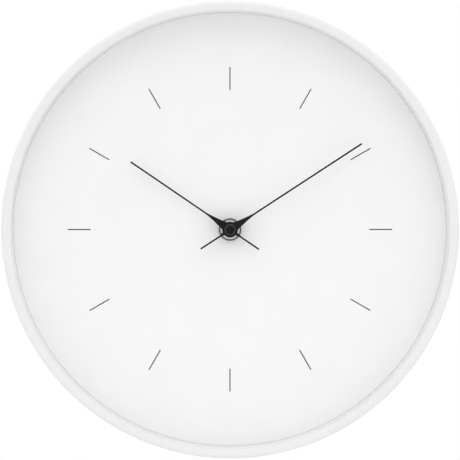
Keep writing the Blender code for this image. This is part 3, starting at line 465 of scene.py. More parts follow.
@dataclass(frozen=True)
class BandedFinish(Finish):
    """A finish with a band of another colour past a place along X.

    Attributes:
        band_from: Where the band starts, in metres along X.
        band_to: Where the band ends.
        band: The band's colour, linear.
    """

    band_from: float = 14.0 * MM
    band_to: float = 24.0 * MM
    band: Colour = (0.03, 0.03, 0.032)

    def pigment(self, sheet: NodeSheet, shade: bpy.types.NodeSocket) -> bpy.types.NodeSocket:
        """Mixes the colour, its variation and the band.

        Args:
            sheet: The material's sheet.
            shade: The variation's mask.

        Returns:
            The colour's socket.
        """
        plain = super().pigment(sheet, shade)
        place = sheet.add("ShaderNodeTexCoord").outputs["Object"]
        along = sheet.node("ShaderNodeSeparateXYZ", {"Vector": place}).outputs["X"]
        past_start = sheet.math("GREATER_THAN", along, self.band_from)
        before_end = sheet.math("LESS_THAN", along, self.band_to)
        inside = sheet.math("MULTIPLY", past_start, before_end)
        return sheet.blend(inside, plain, (*self.band, 1.0))


DUST: Colour = (0.55, 0.53, 0.5)

FINISHES = (
    Finish(
        "case_white", Slot.CASE_WHITE, Texture.MOULDED,
        colour=(0.82, 0.82, 0.82), shade=(0.79, 0.79, 0.79), roughness=(0.42, 0.52),
        scale=1500.0, relief=0.03 * MM, wear=0.25, worn_and_highlight_colour=(0.93, 0.93, 0.93), dust=0.06,
    ),
    Finish(
        "dial_white", Slot.DIAL_WHITE, Texture.SPRAYED,
        colour=(0.885, 0.885, 0.885), shade=(0.875, 0.874, 0.872), roughness=(0.62, 0.7),
        scale=2500.0, relief=0.006 * MM,
    ),
    Finish(
        "print_black", Slot.HAND_BLACK, Texture.SPRAYED,
        colour=(0.01, 0.01, 0.011), shade=(0.02, 0.02, 0.021), roughness=(0.5, 0.62),
        scale=6000.0, relief=0.002 * MM, specular=0.2,
    ),
    Finish(
        "hand_black", Slot.HAND_BLACK, Texture.SPRAYED,
        colour=(0.0055, 0.005, 0.0055), shade=(0.009, 0.0085, 0.009), roughness=(0.3, 0.4),
        scale=5000.0, relief=0.004 * MM, wear=0.12, worn_and_highlight_colour=(0.05, 0.05, 0.05), specular=0.14,
    ),
    # The strong lighter edge tint through the edge mask here is a painted highlight on the cap's edges.
    Finish(
        "cap_black", Slot.HAND_BLACK, Texture.TURNED,
        colour=(0.004, 0.0036, 0.004), shade=(0.007, 0.0065, 0.007), roughness=(0.22, 0.32),
        scale=8000.0, relief=0.002 * MM, wear=1.0, worn_and_highlight_colour=(0.075, 0.07, 0.075), specular=0.14,
    ),
    # Lighter copy of the cap's black for its chamfer band: a painted highlight.
    Finish(
        "cap_edge", Slot.HAND_BLACK, Texture.TURNED,
        colour=(0.04, 0.036, 0.038), shade=(0.03, 0.027, 0.029), roughness=(0.26, 0.36),
        scale=8000.0, relief=0.002 * MM, specular=0.2,
    ),
    # Bright copy of the nut metal, laid only on the band on the nut's face: a painted bright reflection.
    Finish(
        "nut_bright", Slot.NUT_BRIGHT, Texture.TURNED,
        colour=(0.6, 0.59, 0.59), shade=(0.5, 0.49, 0.5), roughness=(0.09, 0.16),
        metallic=1.0, scale=9000.0, relief=0.002 * MM, wear=0.3, worn_and_highlight_colour=(0.8, 0.8, 0.8),
    ),
    # Dark copy of the same metal for the rest of the nut: painted dark reflection and shade round its edge.
    Finish(
        "nut_dark", Slot.NUT_BRIGHT, Texture.TURNED,
        colour=(0.13, 0.128, 0.132), shade=(0.08, 0.078, 0.082), roughness=(0.14, 0.24),
        metallic=1.0, scale=9000.0, relief=0.002 * MM, wear=0.3, worn_and_highlight_colour=(0.4, 0.4, 0.4),
    ),
    Finish(
        "brass", Slot.BRASS, Texture.TURNED,
        colour=(0.78, 0.56, 0.24), shade=(0.66, 0.45, 0.19), roughness=(0.24, 0.38),
        metallic=1.0, scale=7000.0, relief=0.003 * MM, wear=0.3, worn_and_highlight_colour=(0.9, 0.7, 0.35),
    ),
    Finish(
        "steel", Slot.STEEL, Texture.BRUSHED,
        colour=(0.6, 0.6, 0.61), shade=(0.46, 0.46, 0.48), roughness=(0.28, 0.46),
        metallic=1.0, scale=2600.0, relief=0.006 * MM, wear=0.4, worn_and_highlight_colour=(0.75, 0.75, 0.76),
    ),
    Finish(
        "rubber", Slot.RUBBER, Texture.MOULDED,
        colour=(0.022, 0.022, 0.022), shade=(0.04, 0.039, 0.038), roughness=(0.7, 0.86),
        scale=2200.0, relief=0.03 * MM, dust=0.1,
    ),
    Finish(
        "movement_black", Slot.MOVEMENT_BLACK, Texture.MOULDED,
        colour=(0.021, 0.021, 0.023), shade=(0.034, 0.034, 0.036), roughness=(0.4, 0.56),
        scale=2600.0, relief=0.03 * MM, wear=0.35, worn_and_highlight_colour=(0.12, 0.12, 0.125), dust=0.08,
    ),
    Finish(
        "gear_plastic", Slot.GEAR_PLASTIC, Texture.MOULDED,
        colour=(0.8, 0.77, 0.68), shade=(0.74, 0.7, 0.6), roughness=(0.36, 0.5),
        scale=3200.0, relief=0.01 * MM, wear=0.2, worn_and_highlight_colour=(0.88, 0.86, 0.8),
    ),
    Finish(
        "plate_plastic", Slot.PLATE_PLASTIC, Texture.MOULDED,
        colour=(0.32, 0.33, 0.35), shade=(0.26, 0.27, 0.29), roughness=(0.42, 0.58),
        scale=2600.0, relief=0.02 * MM, wear=0.3, worn_and_highlight_colour=(0.5, 0.51, 0.53),
    ),
    Finish(
        "magnet", Slot.MAGNET, Texture.MOULDED,
        colour=(0.1, 0.095, 0.095), shade=(0.15, 0.14, 0.14), roughness=(0.45, 0.62),
        metallic=0.4, scale=4200.0, relief=0.02 * MM, wear=0.4, worn_and_highlight_colour=(0.3, 0.29, 0.28),
    ),
    Finish(
        "copper", Slot.COPPER, Texture.SPRAYED,
        colour=(0.7, 0.3, 0.13), shade=(0.58, 0.22, 0.09), roughness=(0.2, 0.34),
        metallic=1.0, scale=2600.0, relief=0.003 * MM, coat=0.6,
    ),
    Finish(
        "board_green", Slot.BOARD_GREEN, Texture.TRACKED,
        colour=(0.02, 0.13, 0.05), shade=(0.05, 0.24, 0.09), roughness=(0.26, 0.36),
        scale=430.0, relief=0.03 * MM, coat=0.4,
    ),
    BandedFinish(
        "battery_sleeve", Slot.BATTERY_SLEEVE, Texture.SPRAYED,
        colour=(0.34, 0.36, 0.38), shade=(0.28, 0.3, 0.32), roughness=(0.22, 0.34),
        metallic=0.5, scale=1500.0, relief=0.004 * MM, wear=0.2, worn_and_highlight_colour=(0.6, 0.6, 0.6), coat=0.3,
    ),
)


# ---- outlines ---------------------------------------------------------------------------------
def arc(centre: Point2, radius: float, start: float, end: float, steps: int = 8) -> list[Point2]:
    """Points on an arc, both ends included.

    Args:
        centre: The arc's centre.
        radius: Its radius.
        start: Where it starts, in degrees from the first axis towards the second.
        end: Where it ends, in degrees.
        steps: How many steps it takes.

    Returns:
        The points.
    """
    turns = [radians(start + (end - start) * step / steps) for step in range(steps + 1)]
    return [(centre[0] + radius * cos(turn), centre[1] + radius * sin(turn)) for turn in turns]


def circle(centre: Point2, radius: float, steps: int = 48) -> list[Point2]:
    """Points of a whole circle.

    Args:
        centre: The circle's centre.
        radius: Its radius.
        steps: How many points it has.

    Returns:
        The points, without the first one again at the end.
    """
    return arc(centre, radius, 0.0, 360.0, steps)[:-1]


def rectangle(left: float, right: float, bottom: float, top: float) -> list[Point2]:
    """Corners of a rectangle.

    Args:
        left: Its lowest x.
        right: Its highest x.
        bottom: Its lowest z.
        top: Its highest z.

    Returns:
        The four corners.
    """
    return [(left, bottom), (right, bottom), (right, top), (left, top)]


def rounded(corners: Sequence[Point2], cut: float, steps: int = 5) -> list[Point2]:
    """Rounds every corner of a closed outline.

    Args:
        corners: The outline.
        cut: How far from its corner each rounding starts.
        steps: How many steps each rounding takes.

    Returns:
        The new outline.
    """
    outline = []
    for index, corner in enumerate(corners):
        here = Vector(corner)
        before = Vector(corners[index - 1]) - here
        after = Vector(corners[(index + 1) % len(corners)]) - here
        reach = min(cut, before.length / 2, after.length / 2)
        first = here + before.normalized() * reach
        last = here + after.normalized() * reach
        for step in range(steps + 1):
            share = step / steps
            point = first * (1 - share) ** 2 + here * 2 * share * (1 - share) + last * share**2
            outline.append((point.x, point.y))
    return outline


# ---- meshes -----------------------------------------------------------------------------------
def solid(name: str, shape: bmesh.types.BMesh, sharp: float = 35.0) -> bpy.types.Object:
    """Closes a bmesh, turns its faces outwards and makes an object of it.

    Args:
        name: The piece's name.
        shape: The bmesh, which is freed.
        sharp: Edges above this angle in degrees stay sharp.

    Returns:
        The object, at the origin.
    """
    bmesh.ops.remove_doubles(shape, verts=shape.verts, dist=MERGE)
    bmesh.ops.recalc_face_normals(shape, faces=shape.faces)
    mesh = bpy.data.meshes.new(name)
    shape.to_mesh(mesh)
    shape.free()
    mesh.shade_smooth()
    mesh.set_sharp_from_angle(angle=radians(sharp))
    made = bpy.data.objects.new(name, mesh)
    bpy.context.scene.collection.objects.link(made)
    return made


def turned(
    name: str,
    profile: Sequence[Point2],
    place: Matrix | None = None,
    steps: int = 96,
    sharp: float = 35.0,
) -> bpy.types.Object:
    """Turns a profile about the Y axis.

    Args:
        name: The piece's name.
        profile: (radius, y) points; one that starts off the axis is closed to a ring.
        place: Where the turned shape goes, or None for the clock's own axis.
        steps: How many steps one turn takes.
        sharp: Edges above this angle in degrees stay sharp.

    Returns:
        The object, at the origin.
    """
    shape = bmesh.new()
    spokes = [(sin(tau * step / steps), cos(tau * step / steps)) for step in range(steps)]
    rings = []
    for radius, along in profile:
        if radius < MERGE:
            rings.append([shape.verts.new((0.0, along, 0.0))])
        else:
            rings.append([shape.verts.new((radius * x, along, radius * z)) for x, z in spokes])
    following = rings[1:] if profile[0][0] < MERGE else rings[1:] + rings[:1]
    for near, far in zip(rings, following):
        for step in range(steps):
            after = (step + 1) % steps
            corners = (
                near[step % len(near)],
                near[after % len(near)],
                far[after % len(far)],
                far[step % len(far)],
            )
            distinct = list(dict.fromkeys(corners))
            if len(distinct) > 2:
                shape.faces.new(distinct)
    if place is not None:
        bmesh.ops.transform(shape, matrix=place, verts=shape.verts)
    return solid(name, shape, sharp)


def prism(
    name: str,
    outline: Sequence[Point2],
    front: float,
    rear: float,
    holes: Sequence[Sequence[Point2]] = (),
    place: Matrix | None = None,
) -> bpy.types.Object:
    """Extrudes an (x, z) outline with holes along Y.

    Args:
        name: The piece's name.
        outline: The outer outline.
        front: The y of its front.
        rear: The y of its rear.
        holes: Outlines of the holes.
        place: Where the extruded shape goes, or None to leave it.

    Returns:
        The object, at the origin.
    """
    shape = bmesh.new()
    for loop in (outline, *holes):
        points = [shape.verts.new((x, front, z)) for x, z in loop]
        for first, second in zip(points, points[1:] + points[:1]):
            shape.edges.new((first, second))
    bmesh.ops.triangle_fill(shape, edges=shape.edges[:], use_beauty=True)
    grown = bmesh.ops.extrude_face_region(shape, geom=shape.faces[:])
    moved = [part for part in grown["geom"] if isinstance(part, bmesh.types.BMVert)]
    bmesh.ops.translate(shape, verts=moved, vec=(0.0, rear - front, 0.0))
    if place is not None:
        bmesh.ops.transform(shape, matrix=place, verts=shape.verts)
    return solid(name, shape)


def settled(piece: bpy.types.Object) -> bpy.types.Object:
    """Turns a piece and its modifiers into one plain mesh.

    Args:
        piece: The piece, with its modifiers.

    Returns:
        The same object, with the finished mesh and no modifier.
    """
    bpy.context.view_layer.update()
    evaluated = piece.evaluated_get(bpy.context.evaluated_depsgraph_get())
    mesh = bpy.data.meshes.new_from_object(evaluated)
    mesh.name = piece.name
    piece.modifiers.clear()
    piece.data = mesh
    return piece


def bevelled(piece: bpy.types.Object, width: float, segments: int = 2) -> bpy.types.Object:
    """Breaks the sharp edges of a piece.

    Args:
        piece: The piece.
        width: Width of the bevel.
        segments: Steps across the bevel.

    Returns:
        The same object, with the finished mesh.
    """
    bevel = piece.modifiers.new("broken_edges", "BEVEL")
    bevel.width = width
    bevel.segments = segments
    bevel.limit_method = "ANGLE"
    bevel.angle_limit = radians(40.0)
    bevel.use_clamp_overlap = True
    settled(piece)
    piece.data.shade_smooth()
    piece.data.set_sharp_from_angle(angle=radians(35.0))
    return piece


def carved(piece: bpy.types.Object, tools: Iterable[bpy.types.Object]) -> bpy.types.Object:
    """Cuts tools out of a piece.

    Args:
        piece: The piece.
        tools: The shapes to cut away, which are removed afterwards.

    Returns:
        The same object, with the finished mesh.
    """
    used = list(tools)
    for tool in used:
        cut = piece.modifiers.new(tool.name, "BOOLEAN")
        cut.operation = "DIFFERENCE"
        cut.solver = "EXACT"
        cut.object = tool
    settled(piece)
    for tool in used:
        bpy.data.objects.remove(tool)
    return piece


def gathered(name: str, pieces: Sequence[bpy.types.Object]) -> bpy.types.Object:
    """Gathers the meshes of several pieces into one object.

    Args:
        name: The new piece's name.
        pieces: The pieces, which are removed.

    Returns:
        The new object.
    """
    shape = bmesh.new()
    for piece in pieces:
        shape.from_mesh(piece.data)
        bpy.data.objects.remove(piece)
    mesh = bpy.data.meshes.new(name)
    shape.to_mesh(mesh)
    shape.free()
    mesh.shade_smooth()
    mesh.set_sharp_from_angle(angle=radians(35.0))
    made = bpy.data.objects.new(name, mesh)
    bpy.context.scene.collection.objects.link(made)
    return made


# ---- recipes for what repeats -----------------------------------------------------------------
class Recipe:
    """A geometry tree with named inputs, which makes one plain mesh at a time."""

    NAME = "recipe"
    INPUTS: dict[str, tuple[str, object]] = {}

    def __init__(self) -> None:
        """Opens the tree, lays it out and closes it with Realize Instances and Set Material."""
        self.tree = bpy.data.node_groups.new(self.NAME, "GeometryNodeTree")
        face = self.tree.interface
        for name, (kind, default) in self.INPUTS.items():
            socket = face.new_socket(name, in_out="INPUT", socket_type=kind)
            socket.default_value = default
        face.new_socket("Finish", in_out="INPUT", socket_type="NodeSocketMaterial")
        face.new_socket("Geometry", in_out="OUTPUT", socket_type="NodeSocketGeometry")
        sheet = NodeSheet(self.tree)
        given = sheet.add("NodeGroupInput").outputs
        whole = sheet.node("GeometryNodeRealizeInstances", {"Geometry": self.lay_out(sheet, given)})
        inputs = {"Geometry": whole.outputs[0], "Material": given["Finish"]}
        dressed = sheet.node("GeometryNodeSetMaterial", inputs)
        out = sheet.add("NodeGroupOutput")
        sheet.feed(out.inputs["Geometry"], dressed.outputs[0])

    def lay_out(self, sheet: NodeSheet, given: bpy.types.bpy_prop_collection) -> bpy.types.NodeSocket:
        """Lays out the nodes between the inputs and the end.

        Args:
            sheet: The tree's sheet.
            given: The sockets of the tree's inputs.

        Returns:
            The socket of the geometry.
        """
        raise NotImplementedError

    def make(self, name: str, material: bpy.types.Material, **values: object) -> bpy.types.Object:
        """Makes a piece with this recipe.

        Args:
            name: The piece's name.
            material: Its material.
            values: Values of the inputs, by name with _ for a space.

        Returns:
            The object, with a plain mesh.
        """
        made = bpy.data.objects.new(name, bpy.data.meshes.new(name))
        bpy.context.scene.collection.objects.link(made)
        change = made.modifiers.new(self.NAME, "NODES")
        change.node_group = self.tree
        wanted = {"Finish": material, **{key.replace("_", " "): value for key, value in values.items()}}
        for socket in self.tree.interface.items_tree:
            if socket.in_out == "INPUT" and socket.name in wanted:
                change[socket.identifier] = wanted[socket.name]
        settled(made)
        made.data.shade_smooth()
        made.data.set_sharp_from_angle(angle=radians(35.0))
        return made


class RingRecipe(Recipe):
    """Studs at equal steps on a ring about an axis along Y."""

    INPUTS = {
        "Count": ("NodeSocketInt", 12),
        "Radius": ("NodeSocketFloat", 0.1),
        "Start": ("NodeSocketFloat", 0.0),
        "Centre": ("NodeSocketVector", (0.0, 0.0, 0.0)),
        "Size": ("NodeSocketVector", (0.001, 0.001, 0.001)),
        "Sides": ("NodeSocketInt", 12),
    }

    def __init__(self, stud: Stud) -> None:
        """Builds the tree for one kind of stud.

        Args:
            stud: What the ring repeats.
        """
        self.stud = stud
        self.NAME = f"ring_of_{stud.value}s"
        super().__init__()

    def _stud(self, sheet: NodeSheet, given: bpy.types.bpy_prop_collection) -> bpy.types.NodeSocket:
        """The stud, long side along Z for a bar and along Y for a rod or a disc."""
        if self.stud is Stud.BAR:
            return sheet.node("GeometryNodeMeshCube", {"Size": given["Size"]}).outputs[0]
        size = sheet.node("ShaderNodeSeparateXYZ", {"Vector": given["Size"]}).outputs
        inputs = {"Vertices": given["Sides"], "Radius": size["X"], "Depth": size["Y"]}
        rod = sheet.node("GeometryNodeMeshCylinder", inputs)
        inputs = {"Geometry": rod.outputs[0], "Rotation": (pi / 2, 0.0, 0.0)}
        return sheet.node("GeometryNodeTransform", inputs).outputs[0]

    def lay_out(self, sheet: NodeSheet, given: bpy.types.bpy_prop_collection) -> bpy.types.NodeSocket:
        """Lays out the ring.

        Args:
            sheet: The tree's sheet.
            given: The sockets of the tree's inputs.

        Returns:
            The socket of the geometry.
        """
        step = sheet.math("DIVIDE", tau, given["Count"])
        index = sheet.add("GeometryNodeInputIndex").outputs[0]
        turn = sheet.math("MULTIPLY_ADD", index, step, given["Start"])
        across = sheet.math("MULTIPLY", sheet.math("SINE", turn), given["Radius"])
        up = sheet.math("MULTIPLY", sheet.math("COSINE", turn), given["Radius"])
        offset = sheet.node("ShaderNodeCombineXYZ", {"X": across, "Z": up}).outputs[0]
        places = sheet.add("ShaderNodeVectorMath", operation="ADD")
        sheet.feed(places.inputs[0], given["Centre"])
        sheet.feed(places.inputs[1], offset)
        points = sheet.node("GeometryNodePoints", {"Count": given["Count"]}).outputs[0]
        inputs = {"Geometry": points, "Position": places.outputs[0]}
        spread = sheet.node("GeometryNodeSetPosition", inputs).outputs[0]
        spin = sheet.node("FunctionNodeAxisAngleToRotation", {"Axis": (0.0, 1.0, 0.0), "Angle": turn})
        inputs = {"Points": spread, "Instance": self._stud(sheet, given), "Rotation": spin.outputs[0]}
        return sheet.node("GeometryNodeInstanceOnPoints", inputs).outputs[0]


class RowRecipe(Recipe):
    """Bars at equal steps along a line."""

    NAME = "row_of_bars"
    INPUTS = {
        "Count": ("NodeSocketInt", 5),
        "Start": ("NodeSocketVector", (0.0, 0.0, 0.0)),
        "Step": ("NodeSocketVector", (0.001, 0.0, 0.0)),
        "Size": ("NodeSocketVector", (0.001, 0.001, 0.001)),
    }

    def lay_out(self, sheet: NodeSheet, given: bpy.types.bpy_prop_collection) -> bpy.types.NodeSocket:
        """Lays out the row.

        Args:
            sheet: The tree's sheet.
            given: The sockets of the tree's inputs.

        Returns:
            The socket of the geometry.
        """
        inputs = {"Count": given["Count"], "Start Location": given["Start"], "Offset": given["Step"]}
        line = sheet.node("GeometryNodeMeshLine", inputs, mode="OFFSET").outputs[0]
        bar = sheet.node("GeometryNodeMeshCube", {"Size": given["Size"]}).outputs[0]
        inputs = {"Points": line, "Instance": bar}
        return sheet.node("GeometryNodeInstanceOnPoints", inputs).outputs[0]


class HelixRecipe(Recipe):
    """A round wire wound in a helix, its first axis along Z before it is turned."""

    NAME = "helix_of_wire"
    INPUTS = {
        "Turns": ("NodeSocketFloat", 10.0),
        "Steps": ("NodeSocketInt", 24),
        "Radius": ("NodeSocketFloat", 0.004),
        "Length": ("NodeSocketFloat", 0.01),
        "Wire": ("NodeSocketFloat", 0.0002),
        "Centre": ("NodeSocketVector", (0.0, 0.0, 0.0)),
        "Turned": ("NodeSocketVector", (0.0, 0.0, 0.0)),
    }

    def lay_out(self, sheet: NodeSheet, given: bpy.types.bpy_prop_collection) -> bpy.types.NodeSocket:
        """Lays out the helix.

        Args:
            sheet: The tree's sheet.
            given: The sockets of the tree's inputs.

        Returns:
            The socket of the geometry.
        """
        inputs = {
            "Resolution": given["Steps"],
            "Rotations": given["Turns"],
            "Start Radius": given["Radius"],
            "End Radius": given["Radius"],
            "Height": given["Length"],
        }
        spiral = sheet.node("GeometryNodeCurveSpiral", inputs).outputs[0]
        section = sheet.node("GeometryNodeCurvePrimitiveCircle", {"Resolution": 6})
        sheet.feed(section.inputs["Radius"], given["Wire"])
        inputs = {"Curve": spiral, "Profile Curve": section.outputs[0], "Fill Caps": True}
        wire = sheet.node("GeometryNodeCurveToMesh", inputs).outputs[0]
        spin = sheet.node("FunctionNodeEulerToRotation", {"Euler": given["Turned"]}).outputs[0]
        inputs = {"Geometry": wire, "Translation": given["Centre"], "Rotation": spin}
        return sheet.node("GeometryNodeTransform", inputs).outputs[0]


# ---- dressing ---------------------------------------------------------------------------------
@dataclass(frozen=True)
class Palette:
    """The clock's finishes and their materials, by name."""

    finishes: dict[str, Finish]
    materials: dict[str, bpy.types.Material]

    @classmethod
    def mixed(cls, finishes: Iterable[Finish]) -> "Palette":
        """Builds the material of every finish.

        Args:
            finishes: The finishes.

        Returns:
            The palette.
        """
        groups = ShaderGroups()
        known = {finish.name: finish for finish in finishes}
        return cls(known, {name: finish.material(groups) for name, finish in known.items()})

    def dress(
        self, piece: bpy.types.Object, finish: str, body: Body, *replaced: str
    ) -> bpy.types.Object:
        """Gives a finished piece its material and its body, and hides the nodes that it stands for.

        Args:
            piece: The piece, a plain mesh at the origin.
            finish: The finish's name.
            body: The body that it rides on.
            replaced: CAD nodes that it stands for.

        Returns:
            The same piece.
        """
        piece.data.materials.clear()
        piece.data.materials.append(self.materials[finish])
        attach(piece, body.value)
        if replaced:
            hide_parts(*replaced)
        log.info("%s: %s on %s, %d faces", piece.name, finish, body.value, len(piece.data.polygons))
        return piece

    def redress(self, node: str, finish: str) -> None:
        """Gives a CAD node that stays in view its detailed material.

        Args:
            node: The node's name.
            finish: The finish's name.
        """
        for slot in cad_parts[node].material_slots:
            slot.material = self.materials[finish]
        log.info("%s: %s on its own node", node, finish)


@dataclass
class SubAssembly:
    """Pieces of the clock that are built and dressed together.

    Attributes:
        palette: The finishes.
    """

    palette: Palette

    def build(self) -> None:
        """Builds and dresses every piece."""
        raise NotImplementedError


def middle_of(node: str) -> tuple[float, ...]:
    """Middle (x, y, z) of a CAD node's box."""
    return tuple((low + high) / 2 for low, high in zip(*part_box(node)))


def laid_down(node: str) -> Matrix:
    """Lays a shape that was turned about Y along X instead, level with a CAD node's middle."""
    return Matrix.Translation((0.0, *middle_of(node)[1:])) @ Matrix.Rotation(-pi / 2, 4, "Z")


def from_side(middle: float = 0.0) -> Matrix:
    """Turns a prism's (y, z) outline so that it is extruded along X, centred on the given x."""
    return Matrix.Translation((middle, 0.0, 0.0)) @ Matrix.Rotation(pi / 2, 4, "Z")


# ---- case and dial ----------------------------------------------------------------------------
@dataclass
class Case(SubAssembly):
    """White moulded case: narrow rim, deep recessed wall, web behind the dial and its ribs.

    Attributes:
        lip: Width of the rim's face.
        front_round: Rounding of the rim's outer edge.
        inner_round: Rounding of the rim's inner edge.
        dish: How much the rim's face falls from its outer edge to its inner edge.
        wall: Thickness of the outer wall and of the rim.
        recess_wall: Thickness of the recessed wall.
        draft: How much the recess narrows from its mouth to its foot.
        dial_gap: Room between the dial and the web behind it.
        web: Thickness of the web.
        hole: Radius of the hole for the bush.
        ribs: How many ribs the rear has.
        rib_size: Thickness, height and inner radius of a rib.
        frame_half: Half the width inside the movement's locating frame.
        frame_wall: Thickness of that frame.
        frame_height: Its height above the web.
        frame_notch: Half the width of its notch for the hanger.
        pin: Radius and height of an ejector pin's mark.
        pin_rings: Radius of the two rings that those marks stand in.
    """

    lip: float = 5.5 * MM
    front_round: float = 2.2 * MM
    inner_round: float = 0.45 * MM
    dish: float = 0.5 * MM
    wall: float = 2.0 * MM
    recess_wall: float = 1.7 * MM
    draft: float = 0.55 * MM
    dial_gap: float = 0.3 * MM
    web: float = 2.0 * MM
    hole: float = 4.2 * MM
    ribs: int = 8
    rib_size: tuple[float, float, float] = (1.6 * MM, 10.0 * MM, 46.0 * MM)
    frame_half: float = 28.6 * MM
    frame_wall: float = 1.6 * MM
    frame_height: float = 5.0 * MM
    frame_notch: float = 10.6 * MM
    pin: Point2 = (2.4 * MM, 0.25 * MM)
    pin_rings: Point2 = (72.0 * MM, 116.0 * MM)

    def __post_init__(self) -> None:
        """Reads the case's own place from the frame."""
        low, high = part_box("case_body")
        self.radius = high.x
        self.front = low.y
        self.rear = high.y
        self.web_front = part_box("dial_sheet")[1].y + self.dial_gap
        self.web_rear = self.web_front + self.web

    def profile(self) -> list[Point2]:
        """Section of the case.

        Returns:
            (radius, y) points of a closed ring.
        """
        outer, inner = self.radius, self.radius - self.wall
        mouth = outer - self.lip
        foot = mouth - self.draft
        recess_outer = mouth + self.recess_wall
        rim_rear = self.front + self.wall
        end, edge, root, corner = 0.5 * MM, self.inner_round, 0.4 * MM, 0.6 * MM
        big = self.front_round
        points = arc((inner + end, self.rear - end), end, 180.0, 90.0, 4)
        points += arc((outer - end, self.rear - end), end, 90.0, 0.0, 4)
        points += arc((outer - big, self.front + big), big, 0.0, -90.0, 10)
        points += arc((mouth + edge, self.front + self.dish + edge), edge, -90.0, -180.0, 5)
        points += [(foot, self.web_front), (self.hole, self.web_front), (self.hole, self.web_rear)]
        points += arc((recess_outer - corner, self.web_rear - corner), corner, 90.0, 0.0, 4)
        points += arc((recess_outer + root, rim_rear + root), root, 180.0, 270.0, 4)
        points += arc((inner - root, rim_rear + root), root, 270.0, 360.0, 4)
        return points

    def locating_frame(self) -> list[Point2]:
        """Outline of the frame round the movement, open at the top for the hanger.

        Returns:
            (x, z) points.
        """
        near, far, notch = self.frame_half, self.frame_half + self.frame_wall, self.frame_notch
        corners = [
            (notch, far), (far, far), (far, -far), (-far, -far), (-far, far), (-notch, far),
            (-notch, near), (-near, near), (-near, -near), (near, -near), (near, near), (notch, near),
        ]
        return rounded(corners, 0.5 * MM, 3)

    def build(self) -> None:
        """Builds the shell, the ribs, the locating frame and the ejector pins' marks."""
        shell = turned("case_shell", self.profile(), steps=288, sharp=50.0)
        self.palette.dress(shell, "case_white", Body.CASE, "case_body")

        white = self.palette.materials["case_white"]
        thickness, height, start = self.rib_size
        sunk = 0.3 * MM
        end = self.radius - self.wall + sunk
        ribs = RingRecipe(Stud.BAR).make(
            "case_ribs",
            white,
            Count=self.ribs,
            Radius=(start + end) / 2,
            Start=pi / self.ribs,
            Centre=(0.0, self.web_rear + (height - sunk) / 2, 0.0),
            Size=(thickness, height + sunk, end - start),
        )
        self.palette.dress(bevelled(ribs, 0.3 * MM), "case_white", Body.CASE, "case_body")

        outline = self.locating_frame()
        rise = self.web_rear + self.frame_height
        holder = prism("movement_frame", outline, self.web_rear - sunk, rise)
        self.palette.dress(bevelled(holder, 0.25 * MM), "case_white", Body.CASE, "case_body")

        radius, proud = self.pin
        discs = RingRecipe(Stud.DISC)
        inner_ring, outer_ring = self.pin_rings
        for name, count, ring, turn in (
            ("pin_marks_inner", self.ribs, inner_ring, 0.0),
            ("pin_marks_outer", 2 * self.ribs, outer_ring, pi / (2 * self.ribs)),
        ):
            marks = discs.make(
                name,
                white,
                Count=count,
                Radius=ring,
                Start=turn,
                Centre=(0.0, self.web_rear, 0.0),
                Size=(radius, 2 * proud, 0.0),
                Sides=32,
            )
            self.palette.dress(bevelled(marks, 0.08 * MM, 1), "case_white", Body.CASE, "case_body")


@dataclass
class Dial(SubAssembly):
    """Flat white dial with twelve thin printed hour marks.

    Attributes:
        hole: Radius of the hole for the bush.
        edge: Broken edge of the sheet.
        mark_ends: Inner and outer radius of an hour mark.
        mark_width: Width of an hour mark.
        print_height: How far the print stands above the dial.
    """

    hole: float = 4.2 * MM
    edge: float = 0.08 * MM
    mark_ends: Point2 = (84.5 * MM, 98.4 * MM)
    mark_width: float = 0.64 * MM
    print_height: float = 0.012 * MM

    def build(self) -> None:
        """Builds the sheet and its hour marks."""
        low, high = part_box("dial_sheet")
        front, rear, radius, edge = low.y, high.y, high.x, self.edge
        profile = [
            (self.hole, front), (radius - edge, front), (radius, front + edge),
            (radius, rear - edge), (radius - edge, rear), (self.hole, rear),
        ]
        sheet = turned("dial_face", profile, steps=288)
        self.palette.dress(sheet, "dial_white", Body.CASE, "dial_sheet")

        inner, outer = self.mark_ends
        marks = RingRecipe(Stud.BAR).make(
            "hour_marks",
            self.palette.materials["print_black"],
            Count=12,
            Radius=(inner + outer) / 2,
            Centre=(0.0, front, 0.0),
            Size=(self.mark_width, 2 * self.print_height, outer - inner),
        )
        self.palette.dress(marks, "print_black", Body.CASE, "dial_sheet")


